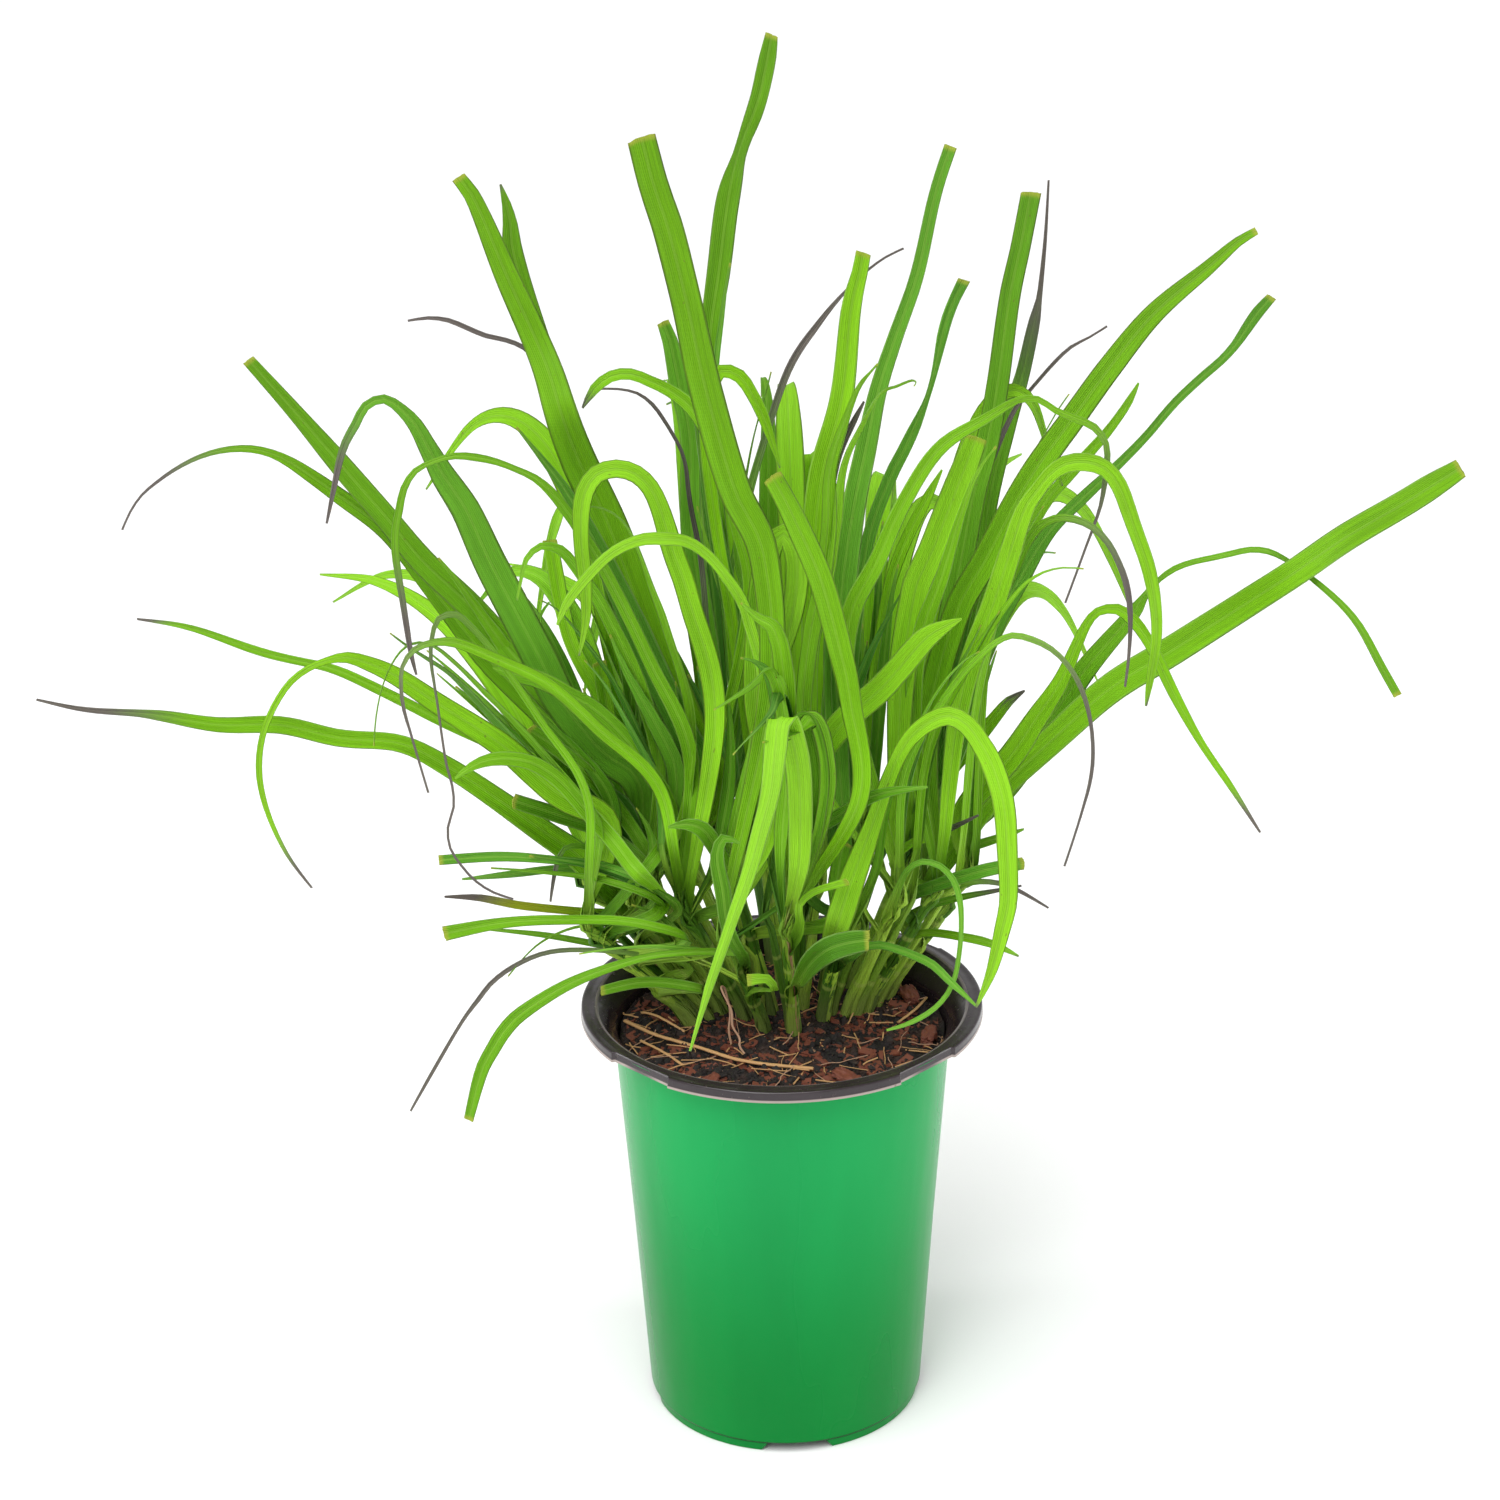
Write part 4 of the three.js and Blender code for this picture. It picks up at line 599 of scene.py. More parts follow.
def circle(graph, sides):
    return graph.node("GeometryNodeCurvePrimitiveCircle", {"Resolution": sides, "Radius": 1.0})


def sweep(graph, line, section, scale=1.0):
    """Sweeps a section along curves and closes its ends."""
    sockets = {"Curve": line, "Profile Curve": section, "Scale": scale, "Fill Caps": True}
    return graph.node("GeometryNodeCurveToMesh", sockets)


def shaken(graph, geometry, scale, detail, reach, spread=(1.0, 1.0, 1.0)):
    """Moves points about by a smooth noise."""
    place = graph.node("GeometryNodeInputPosition")
    shift = graph.vector("SUBTRACT", graph.noise(place, scale, detail, output=1), (0.5, 0.5, 0.5))
    offset = graph.scaled(graph.vector("MULTIPLY", shift, spread), reach)
    return graph.node("GeometryNodeSetPosition", {"Geometry": geometry, "Offset": offset})


# Plant lines, in millimetres.


@dataclass
class Line:
    """A blade's middle line, at even steps."""

    stalk: int
    step: float
    points: np.ndarray
    widths: np.ndarray
    twists: np.ndarray
    end: str = "tip"
    share: float = 0.0
    fixed: bool = False
    frames: list = field(default_factory=list)
    foot: np.ndarray = None


def smooth_step(value):
    t = min(1.0, max(0.0, value))
    return t * t * (3 - 2 * t)


def within(limits, share):
    """A number between two limits."""
    return limits[0] + (limits[1] - limits[0]) * share


def make_random(seed):
    """A seeded source of numbers from 0 to 1."""
    state = seed

    def draw():
        nonlocal state
        state = (state * 16807) % 2147483647
        return state / 2147483647

    return draw


def mix_height(x, y):
    """The height of the mix, mounded at the clump and waved."""
    from_clump = math.hypot(x, y - CLUMP_CENTRE_Y) / MIX_MOUND_RADIUS
    mound = MIX_MOUND * math.exp(-from_clump * from_clump)
    wave = MIX_WAVE * math.sin(MIX_WAVE_X * x + MIX_WAVE_START) * math.cos(MIX_WAVE_Y * y)
    return MIX_LEVEL + mound + wave


def stalk_lean(foot):
    """The direction that a stalk leans in."""
    x, y = foot
    along = np.array([LEAN_X * (x - CLUMP_CENTRE_X), LEAN_Y * (y - CLUMP_CENTRE_Y), 1.0])
    return along / np.linalg.norm(along)


def stalk_ends(foot):
    """Where a stalk leaves the mix and where it ends."""
    x, y = foot
    level = mix_height(x, y)
    top = np.array([x, y, level]) + stalk_lean(foot) * STALK_LENGTH
    return np.array([x, y, level + STALK_START]), top


def stalk_at(foot, share):
    start, top = stalk_ends(foot)
    return start + (top - start) * share


def turned_by(across, down, angle):
    """A place in the picture, counted from its middle and turned by an angle."""
    turn, lift = math.cos(angle), math.sin(angle)
    return across * turn - down * lift, across * lift + down * turn


def place_seen(point):
    """Where the camera's picture shows a point."""
    ray = point - CAMERA
    scale = FOCAL / (ray @ FORWARD)
    across, down = turned_by(ray @ RIGHT * scale, -(ray @ UP) * scale, CAMERA_ROLL)
    return np.array([across, down]) + PICTURE / 2


def point_seen(across, down, y):
    """The point that the picture shows at a place, at the depth y."""
    aside, below = turned_by(across - PICTURE / 2, down - PICTURE / 2, -CAMERA_ROLL)
    ray = FORWARD * FOCAL + RIGHT * aside - UP * below
    return CAMERA + ray * (y - CAMERA[1]) / ray[1]


def traced_leaf(name, stalk, start_depth, tip_depth, end, trace):
    """A traced leaf in whole millimetres and half ones of width: its name, stalk, end and points.

    Its depth goes from its start's to its tip's with the length of its trace from the top of its stalk on.
    """
    foot = STALKS[stalk]
    top = np.array([*foot, MIX_LEVEL]) + stalk_lean(foot) * STALK_LENGTH
    start = top[1] if start_depth is None else start_depth
    places = np.array([place_seen(top), *(point[:2] for point in trace)])
    runs = np.cumsum(np.linalg.norm(np.diff(places, axis=0), axis=1))
    points = []
    for (across, down, width, *twist), run in zip(trace, runs):
        share = (run / runs[-1]) ** DEPTH_BEND
        point = point_seen(across, down, start + (tip_depth - start) * share)
        size = width * np.linalg.norm(point - CAMERA) / FOCAL
        points.append([*(round(value) for value in point), round(size * 2) / 2, *twist])
    return name, stalk, end, points


def traced_leaves():
    """The leaves that are traced."""
    return [traced_leaf(*row) for row in TRACES]


def smooth_row(rows, i, t):
    """A place between a row and the next, on the smooth line through all the rows."""
    before = rows[max(0, i - 1)]
    here, there = rows[i], rows[i + 1]
    after = rows[min(len(rows) - 1, i + 2)]
    bend = 2 * before - 5 * here + 4 * there - after
    turn = 3 * here - before - 3 * there + after
    return here + 0.5 * t * (there - before + t * (bend + t * turn))


def even_rows(rows):
    """The smooth line through rows of numbers, at even steps of about SAMPLE_STEP."""
    parts = [j / FINE_STEPS for j in range(FINE_STEPS)]
    fine = [smooth_row(rows, i, part) for i in range(len(rows) - 1) for part in parts]
    fine = np.array([*fine, rows[-1]])
    steps = np.linalg.norm(np.diff(fine[:, :3], axis=0), axis=1)
    lengths = np.concatenate([[0.0], np.cumsum(steps)])
    total = lengths[-1]
    count = max(LEAST_STEPS, math.floor(total / SAMPLE_STEP + 0.5))
    at = np.linspace(0, total, count + 1)
    even = np.column_stack([np.interp(at, lengths, fine[:, k]) for k in range(5)])
    return even, total / count


def leaf_line(leaf, order):
    """A leaf starts inside its stalk, no higher than its first point asks."""
    _, stalk, end, points = leaf
    start, top = stalk_ends(STALKS[stalk])
    reach = (points[0][2] - BASE_DROP - start[2]) / (top[2] - start[2])
    share = min(BASE_HIGHEST - BASE_ORDER * order, max(BASE_LOWEST, reach))
    rows = [
        [*stalk_at(STALKS[stalk], share - BASE_INSIDE), BASE_WIDTH - 1, 0],
        [*stalk_at(STALKS[stalk], share), BASE_WIDTH, 0],
    ]
    for x, y, z, width, *twist in points:
        rows.append([x, y, z, width, math.radians(twist[0] if twist else 0)])
    if end == "tip":
        rows[-1][3] = LEAST_WIDTH
    even, step = even_rows(np.array(rows, float))
    widths = np.maximum(LEAST_WIDTH, even[:, 3])
    return Line(stalk, step, even[:, :3].copy(), widths, even[:, 4].copy(), end, share)


def back_leaves():
    """Leaves on the far side of the clump: each rises from its stalk and arches over."""
    draw = make_random(BACK_SEED)
    made = []
    for stalk in BACK_STALKS:
        top = stalk_ends(STALKS[stalk])[1]
        for i in range(BACK_LEAVES_EACH):
            aside = (i - 0.5) * BACK_APART + (draw() - 0.5) * BACK_WANDER
            spread = -BACK_SPREAD * top[0] + aside
            bearing = math.pi / 2 + max(-BACK_FAN, min(BACK_FAN, spread))
            reach = min(within(BACK_REACH, draw()), (BACK_LIMIT - top[1]) / math.sin(bearing))
            rise, peak, width = (within(limits, draw()) for limits in (BACK_RISE, BACK_PEAK, BACK_WIDTH))
            turn = BACK_TWIST * (draw() - 0.5)
            points = []
            for j in range(1, BACK_POINTS + 1):
                share = j / BACK_POINTS
                out = reach * share**BACK_OUTWARDS
                fall = (share - peak) / peak
                up = rise * (1 - fall * fall)
                taper = 1 - (share - BACK_WIDEST) * BACK_NARROWING
                if share < BACK_WIDEST:
                    taper = BACK_BASE_WIDTH + share
                x = top[0] + out * math.cos(bearing)
                y = top[1] + out * math.sin(bearing)
                points.append([x, y, top[2] + up, width * taper, turn * share])
            made.append([f"back_{stalk + 1}_{i + 1}", stalk, "tip", points])
    return made


def sample_table(lines):
    """All samples of all lines, as arrays by name, with each one's neighbours on its own line."""
    rows = {name: [] for name in ("leaf", "place", "reach", "extent", "along", "free", "before", "after")}
    count = 0
    for leaf, line in enumerate(lines):
        n = len(line.points)
        index = np.arange(n)
        before, after = np.maximum(index - 1, 0), np.minimum(index + 1, n - 1)
        depth = line.points @ DEPTH
        slope = np.abs(depth[after] - depth[before]) / 2
        half = line.widths / 2
        lift = line.points[:, 1] * math.sin(DEPTH_ANGLE) + line.points[:, 2] * math.cos(DEPTH_ANGLE)
        along = index * line.step
        free = [0.0 if line.fixed else smooth_step((a - FREE_FROM) / (FREE_AT - FREE_FROM)) for a in along]
        rows["leaf"].append(np.full(n, leaf))
        rows["place"].append(np.column_stack([line.points[:, 0], lift]))
        broad, deep = half * np.abs(np.cos(line.twists)), half * np.abs(np.sin(line.twists))
        rows["reach"].append(np.maximum(broad, STEP_REACH * line.step) + REACH_MARGIN)
        rows["extent"].append(0.5 * slope + deep + FOLD_DEPTH * half)
        rows["along"].append(along)
        rows["free"].append(np.array(free))
        rows["before"].append(before + count)
        rows["after"].append(after + count)
        count += n
    return {name: np.concatenate(parts) for name, parts in rows.items()}


def find_crossings(lines, table):
    """Pairs of samples that lie over one another across DEPTH, with the gap that keeps each pair clear."""
    leaf, place, reach = table["leaf"], table["place"], table["reach"]
    fixed = np.array([line.fixed for line in lines])[leaf]
    stalk = np.array([line.stalk for line in lines])[leaf]
    pairs = []
    for a in range(len(leaf)):
        b = np.arange(a + 1, len(leaf))
        gap = np.hypot(place[b, 0] - place[a, 0], place[b, 1] - place[a, 1])
        kin = stalk[b] == stalk[a]
        near = np.minimum(table["along"][a], table["along"][b]) < KIN_FROM
        keep = (leaf[b] != leaf[a]) & (gap <= reach[a] + reach[b]) & ~(fixed[a] & fixed[b])
        keep &= ~(kin & (fixed[a] | fixed[b] | near))
        pairs.extend((a, other) for other in b[keep])
    first, second = np.array(pairs).T
    apart = CLEARANCE + table["extent"][first] + table["extent"][second]
    return first, second, apart


def part_crossings(lines):
    """Crossing blades move apart in depth and keep their order, and their bases stay on their stalks."""
    table = sample_table(lines)
    depth = np.concatenate([line.points @ DEPTH for line in lines])
    first, second, apart = find_crossings(lines, table)
    met = table["leaf"][first] * len(lines) + table["leaf"][second]
    keys, which = np.unique(met, return_inverse=True)
    lead = np.zeros(len(keys))
    np.add.at(lead, which, depth[second] - depth[first])
    order = np.where(lead[which] < 0, -1.0, 1.0)
    free = table["free"]
    both = free[first] + free[second]
    for _ in range(PARTING_ROUNDS):
        gap = order * (depth[second] - depth[first])
        act = (gap < apart) & (both >= LEAST_FREEDOM)
        move = PARTING_RATE * (apart[act] - gap[act]) / both[act]
        a, b, way = first[act], second[act], order[act]
        lower, upper = np.zeros(len(depth)), np.zeros(len(depth))
        front, back = np.where(way > 0, a, b), np.where(way > 0, b, a)
        np.minimum.at(lower, front, -move * free[front])
        np.maximum.at(upper, back, move * free[back])
        moves = lower + upper
        for _ in range(SMOOTHING_ROUNDS):
            mean = 0.25 * moves[table["before"]] + 0.5 * moves + 0.25 * moves[table["after"]]
            moves = np.where(np.abs(mean) > np.abs(moves), mean, 0.5 * (mean + moves))
        depth = depth + moves * free
    start = 0
    for line in lines:
        n = len(line.points)
        moved = depth[start : start + n] - line.points @ DEPTH
        line.points += moved[:, None] * DEPTH
        start += n


def blade_frames(line):
    """Along, across and normal directions. A face turns towards the front, except over a bend."""
    points = [Vector(p) for p in line.points]
    back = Vector(DEPTH)
    across = Vector()
    frames = []
    for i, twist in enumerate(line.twists):
        along = points[min(len(points) - 1, i + 1)] - points[max(0, i - 1)]
        along.normalize()
        facing = along.cross(back)
        strength = facing.length
        facing.normalize()
        if i == 0:
            across = facing.copy()
        across = (across - along * across.dot(along)).normalized()
        if across.dot(facing) < 0:
            facing.negate()
        pull = smooth_step((strength - FACING_FROM) / FACING_OVER) * FACING_PULL
        across = across.lerp(facing, pull)
        across = (across - along * across.dot(along)).normalized()
        turned = across * math.cos(twist) + along.cross(across) * math.sin(twist)
        frames.append((along, turned, along.cross(turned)))
    return frames


def plant_lines():
    """Every blade's line, clear of the others."""
    orders = [0] * len(STALKS)
    lines = []
    for leaf in [*traced_leaves(), *back_leaves()]:
        lines.append(leaf_line(leaf, orders[leaf[1]]))
        orders[leaf[1]] += 1
    stalks = []
    for stalk, foot in enumerate(STALKS):
        points = np.array([stalk_at(foot, i / STALK_STEPS) for i in range(STALK_STEPS + 1)])
        widths, twists = (np.full(len(points), value) for value in (2 * STALK_RADIUS, math.pi / 4))
        stalks.append(Line(stalk, STALK_LENGTH / STALK_STEPS, points, widths, twists, fixed=True))
    part_crossings([*lines, *stalks])
    for line in lines:
        line.frames = blade_frames(line)
    return lines


def inner_lines(lines):
    """Shorter leaves that fill the clump, each between two leaves that stand side by side."""
    draw = make_random(INNER_SEED)
    long = [line for line in lines if line.step * len(line.points) > INNER_LEAST]
    middles = np.array([line.points[int(0.45 * len(line.points))] for line in long])
    made = []
    for i in range(INNER_LEAVES + SHOOTS):
        first = int(draw() * len(long))
        near = np.argsort(np.linalg.norm(middles - middles[first], axis=1))
        pair = [long[first], long[near[1 + int(draw() * INNER_NEAREST)]]]
        part = 0.3 + 0.4 * draw()
        reach = within(INNER_REACH, draw())
        sway = INNER_SWAY * np.array([draw() - 0.5, draw() - 0.5, 0.3 * draw()])
        count = max(6, round(pair[0].step * len(pair[0].points) * reach / SAMPLE_STEP))
        shares = np.linspace(0, 1, count + 1)
        rows = []
        for line in pair:
            values = np.column_stack([line.points, line.widths, line.twists])
            at = shares * reach * (len(values) - 1)
            rows.append(np.column_stack([np.interp(at, np.arange(len(values)), v) for v in values.T]))
        shoot = i >= INNER_LEAVES
        share = part * np.array([[1.0 if shoot else smooth_step(s / 0.3)] for s in shares])
        mean = (1 - share) * rows[0] + share * rows[1]
        points = mean[:, :3] + shares[:, None] ** 2 * sway
        step = np.linalg.norm(np.diff(points, axis=0), axis=1).mean()
        taper = np.minimum(1, (1 - shares) / 0.4) ** 0.7
        widths = np.maximum(LEAST_WIDTH, mean[:, 3] * INNER_WIDTH * taper)
        twists = mean[:, 4] + INNER_TWIST * (draw() - 0.5) * (0.4 + 0.6 * shares)
        line = Line(pair[0].stalk, step, points, widths, twists)
        if shoot:
            feet = [stalk_at(STALKS[one.stalk], 0.0) for one in pair]
            aside = SHOOT_SPREAD * np.array([draw() - 0.5, draw() - 0.5, 0])
            line.foot = (1 - part) * feet[0] + part * feet[1] + aside
            line.points[0] += 0.5 * aside
        line.frames = blade_frames(line)
        made.append(line)
    return made


# Settings.


def colour_setting(name, description, default):
    return FloatVectorProperty(name=name, description=description, subtype="COLOR", default=default)


def density_setting(name, default):
    return FloatProperty(name=name, description=f"{name} to a square metre", default=default, min=0.0)


class LemongrassLeafSettings(bpy.types.PropertyGroup):
    thickness: FloatProperty(
        name="Thickness",
        description="Thickness of a blade",
        default=0.00045,
        min=0.0,
        unit="LENGTH",
        precision=5,
    )
    fold: FloatProperty(
        name="Fold",
        description="Depth of a blade's V over half its width",
        default=0.34,
        min=0.0,
        max=1.0,
        subtype="FACTOR",
    )
    wave: FloatProperty(
        name="Edge wave",
        description="How far a blade's edges wave",
        default=0.0007,
        min=0.0,
        unit="LENGTH",
        precision=5,
    )
    wrap: FloatProperty(
        name="Sheath wrap",
        description="How far a sheath's edges reach round its stalk",
        default=math.radians(196),
        unit="ROTATION",
    )
    steps: IntProperty(name="Steps", description="Stations to each step of a line", default=2, min=1)
    deep: colour_setting("Deep green", "Oldest leaves", (0.034, 0.15, 0.004))
    fresh: colour_setting("Fresh green", "Most leaves", (0.235, 0.56, 0.005))
    bright: colour_setting("Bright green", "Youngest leaves", (0.34, 0.72, 0.03))


class LemongrassPotSettings(bpy.types.PropertyGroup):
    sides: IntProperty(name="Sides", description="Faces round the pot", default=240, min=24)
    green: colour_setting("Green", "The sheet's outer layer", (0.0004, 0.19, 0.028))
    grey: colour_setting("Grey", "The sheet's inner layer", (0.012, 0.0085, 0.010))


class LemongrassMixSettings(bpy.types.PropertyGroup):
    crumbs: density_setting("Crumbs", 330000)
    lumps: density_setting("Lumps", 24000)
    flakes: density_setting("Bark flakes", 42000)
    fibres: density_setting("Fibres", 8000)
    roots: density_setting("Fine roots", 2600)
    soil: colour_setting("Soil", "Damp peat", (0.006, 0.0032, 0.0024))


class LemongrassStageSettings(bpy.types.PropertyGroup):
    lens: FloatProperty(name="Lens", description="Focal length", default=81.14, unit="CAMERA")
    floor: colour_setting("Floor", "Colour of the floor", (0.9, 0.9, 0.9))
    light: FloatProperty(name="Light", description="Strength of the lamps", default=1.0, min=0.0)


class LemongrassSettings(bpy.types.PropertyGroup):
    leaf: PointerProperty(type=LemongrassLeafSettings)
    pot: PointerProperty(type=LemongrassPotSettings)
    mix: PointerProperty(type=LemongrassMixSettings)
    stage: PointerProperty(type=LemongrassStageSettings)


# Materials.


def new_material(name):
    """An empty node material, as the material and its graph."""
    material = bpy.data.materials.new(name)
    material.use_nodes = True
    material.node_tree.nodes.clear()
    return material, Graph(material.node_tree)


def object_place(graph):
    return graph.node("ShaderNodeTexCoord", None, "Object")


def bump(graph, height, strength, distance):
    sockets = {"Height": height, "Strength": strength, "Distance": distance}
    return graph.node("ShaderNodeBump", sockets)


def principled(graph, colour, roughness, relief=None, specular=0.5):
    sockets = {"Base Color": colour, "Roughness": roughness, "Specular IOR Level": specular}
    if relief is not None:
        sockets["Normal"] = relief
    return graph.node("ShaderNodeBsdfPrincipled", sockets)


def leaf_material(leaf):
    """Green blades: parallel veins, a pale middle, dull edges, dry tips and pale sheaths."""
    material, graph = new_material("leaf")

    def carried(name):
        settings = {"attribute_type": "GEOMETRY", "attribute_name": name}
        return graph.node("ShaderNodeAttribute", None, "Fac", **settings)

    def along_blade(across_scale, along_scale, detail, roughness=0.5, leaf_scale=40.0):
        """Noise drawn out along the blade, and other noise on each leaf."""
        place = graph.joined(aside * across_scale, along * along_scale, tint * leaf_scale)
        return graph.noise(place, 1.0, detail, roughness)

    names = ("across", "aside", "along", "left", "tint", "age", "roll", "dry", "under")
    across, aside, along, left, tint, age, sheath, dry, under = (carried(name) for name in names)

    # Green that differs from leaf to leaf, with veins and patches.
    green = graph.three_colours(leaf.deep, leaf.fresh, leaf.bright, tint)
    streak = along_blade(1.1, 0.012, 3.0, 0.6)
    fine = along_blade(5.0, 0.05, 2.0)
    patches = along_blade(0.25, 0.03, 2.0)
    veins = graph.math("SINE", aside * 8.6)
    shade = 0.26 + streak * 0.85 + fine * 0.5 + veins * 0.08 + patches * 0.4
    colour = graph.scaled(green, shade)
    fate = graph.math("FRACT", tint * 37.0 + age * 11.0)
    cool = graph.math("FRACT", tint * 53.0 + age * 5.0)
    young = graph.ramp01(tint, 0.35, 0.7)
    cooler = graph.scaled((0.075, 0.30, 0.04), shade)
    colour = graph.blend(colour, cooler, graph.ramp01(cool, 0.55, 0.95) * (1.0 - young) * 0.4)

    # Paler underneath and in the middle, and dull at the edges. Painted shade low in the clump, near the
    # foot, and darker towards the tip.
    colour = graph.blend(colour, (0.13, 0.33, 0.045), under * (0.5 - young * 0.42))
    middle = graph.fall01(abs(aside), 0.15, 0.75)
    colour = graph.blend(colour, (0.34, 0.60, 0.08), middle * 0.26 * (1.0 - sheath))
    edge = graph.ramp01(abs(across), 0.8, 1.0)
    margin = graph.blend((0.40, 0.60, 0.18), (0.10, 0.12, 0.02), graph.ramp01(age, 0.1, 0.5))
    colour = graph.blend(colour, margin, edge * (0.35 + age * 0.5) * (1.0 - sheath))
    # Painted shade: the blades darken near the foot of the clump, where less light reaches.
    low = graph.fall01(along, 20.0, 110.0)
    high = graph.ramp01(along, 170.0, 360.0)
    colour = graph.scaled(colour, 1.0 - low * 0.38 - high * 0.2)

    # Sheaths, with their rings and feet, and the dead ones.
    rind = graph.blend((0.035, 0.13, 0.006), (0.40, 0.64, 0.06), graph.ramp01(fate, 0.1, 0.9))
    rind = graph.scaled(rind, fine * 1.1 + streak * 0.9)
    colour = graph.blend(colour, rind, sheath * 0.85)
    foot = graph.fall01(along, 2.0, 20.0) * sheath
    colour = graph.blend(colour, (0.22, 0.24, 0.08), foot * fine)
    first, second = (graph.fall01(abs(along - at), 0.5, 1.6) for at in NODE_HEIGHTS)
    colour = graph.blend(colour, (0.50, 0.62, 0.14), (first + second) * sheath * 0.4)
    husk = graph.blend((0.52, 0.33, 0.16), (0.20, 0.11, 0.05), graph.ramp01(fine, 0.35, 0.65))
    dead = graph.ramp01(age, 0.75, 0.95) * graph.fall01(along, 45.0, 80.0)
    colour = graph.blend(colour, husk, dead)

    # Dry tips with some yellow below them, cut ends and spots.
    tip = graph.fall01(left + streak * 14.0, dry * 0.5, dry * 1.15) * graph.ramp01(dry, 0.5, 4.0)
    withered = graph.blend((0.06, 0.045, 0.06), (0.17, 0.135, 0.125), streak)
    yellowing = graph.fall01(left, dry, dry * 2.2) * graph.ramp01(age, 0.66, 0.7)
    colour = graph.blend(colour, (0.42, 0.38, 0.02), yellowing * graph.ramp01(dry, 0.5, 4.0) * 0.75)
    colour = graph.blend(colour, withered, tip * 0.96)
    cut = graph.fall01(left, 0.5, 2.6) * graph.fall01(dry, 0.1, 0.5)
    colour = graph.blend(colour, (0.40, 0.42, 0.05), cut * 0.75)
    spots = graph.ramp01(along_blade(0.8, 0.4, 1.0, leaf_scale=90.0), 0.74, 0.8)
    colour = graph.blend(colour, (0.16, 0.11, 0.03), spots * (0.3 + age * 0.6))

    relief = bump(graph, veins * 0.8 + fine * 1.6 + streak * 1.5, 0.5, 0.0004)
    surface = principled(graph, colour, 0.46 + fine * 0.16 + tip * 0.2, relief, 0.22)
    glow = graph.node("ShaderNodeBsdfTranslucent", {"Color": (0.22, 0.52, 0.01, 1.0)})
    clear = (0.1 + tint * 0.24) * (1.0 - tip) * (1.0 - dead) * (1.0 - sheath * 0.7)
    shader = graph.node("ShaderNodeMixShader", {0: clear, 1: surface, 2: glow})
    graph.close("ShaderNodeOutputMaterial", shader)
    return material


def pot_green_material(pot):
    """The green outer layer: satin sheet with faint drawn streaks, painted light that makes it lighter
    towards the top, and a painted shadow line at the step.
    """
    material, graph = new_material("pot_green")
    place = object_place(graph)
    cloud = graph.noise(graph.vector("MULTIPLY", place, (22.0, 22.0, 5.0)), 1.0, 3.0)
    grain = graph.noise(place, 900.0, 2.0)
    height = graph.part(place, "Z")
    # Painted light: the green turns lighter towards the top, where more light falls.
    lift = graph.ramp01(height, 0.02, 0.175)
    colour = graph.blend(pot.green, (0.012, 0.33, 0.085), lift * 0.85)
    # Painted shadow: a dark line in the crease at the foot's step.
    step = graph.fall01(abs(height - (FOOT_HEIGHT - 0.2) * MM), 0.0003, 0.0011)
    colour = graph.scaled(colour, (0.78 + cloud * 0.42) * (1.0 - step * 0.7))
    relief = bump(graph, cloud * 6.0 + grain * 0.12, 0.25, 0.0008)
    surface = principled(graph, colour, 0.2 + cloud * 0.14, relief, 0.11)
    graph.close("ShaderNodeOutputMaterial", surface)
    return material


def pot_grey_material(pot):
    """The dark inner layer, with painted highlights along the skirt's bottom edge and along the rim's inner
    edge.
    """
    material, graph = new_material("pot_grey")
    place = object_place(graph)
    height = graph.part(place, "Z")
    radius = graph.from_axis(place)
    cloud = graph.noise(place, 60.0, 4.0, 0.6)
    scuff = graph.noise(graph.vector("MULTIPLY", place, (300.0, 300.0, 60.0)), 1.0, 3.0)
    colour = graph.scaled(graph.blend(pot.grey, (0.036, 0.024, 0.029), cloud), 0.85 + scuff * 0.3)
    # Painted highlight: a pale line along the skirt's bottom edge.
    lip_height = (POT_HEIGHT - SKIRT + 0.4) * MM
    lip_highlight = graph.fall01(abs(height - lip_height), 0.0004, 0.0009)
    lip_highlight = lip_highlight * graph.ramp01(radius, (RIM_RADIUS - 3.0) * MM, (RIM_RADIUS - 2.0) * MM)
    colour = graph.blend(colour, (0.40, 0.33, 0.30), lip_highlight * 0.8)
    # Painted highlight: a pale line along the rim's inner edge.
    ring_highlight = graph.fall01(abs(radius - RIM_INNER_RADIUS * MM), 0.0003, 0.0009)
    ring_highlight = ring_highlight * graph.ramp01(height, (POT_HEIGHT - 1.2) * MM, (POT_HEIGHT - 0.4) * MM)
    colour = graph.blend(colour, (0.22, 0.18, 0.18), ring_highlight * 0.6)
    crumbs = graph.ramp01(graph.noise(place, 420.0, 3.0), 0.66, 0.74)
    colour = graph.blend(colour, (0.05, 0.03, 0.02), crumbs * 0.6)
    relief = bump(graph, scuff * 0.4 + cloud * 2.0, 0.2, 0.0004)
    surface = principled(graph, colour, 0.14 + scuff * 0.12 + crumbs * 0.3, relief)
    graph.close("ShaderNodeOutputMaterial", surface)
    return material


def soil_material(mix):
    """Damp peat with lighter specks, and painted shade that darkens the hollows of its bumps."""
    material, graph = new_material("potting_mix")
    place = object_place(graph)
    coarse = graph.noise(place, 90.0, 4.0, 0.6)
    grain = graph.noise(place, 700.0, 3.0, 0.6)
    # Painted shade: the mix is darker where its bumps are low.
    colour = graph.blend(mix.soil, (0.034, 0.015, 0.009), graph.ramp01(coarse, 0.45, 0.7))
    colour = graph.scaled(colour, 0.5 + grain)
    speck = graph.ramp01(graph.noise(place, 520.0, 1.0), 0.72, 0.78)
    colour = graph.blend(colour, (0.34, 0.19, 0.10), speck * 0.8)
    relief = bump(graph, grain + coarse * 2.0, 0.6, 0.0008)
    graph.close("ShaderNodeOutputMaterial", principled(graph, colour, 0.62 + grain * 0.3, relief))
    return material


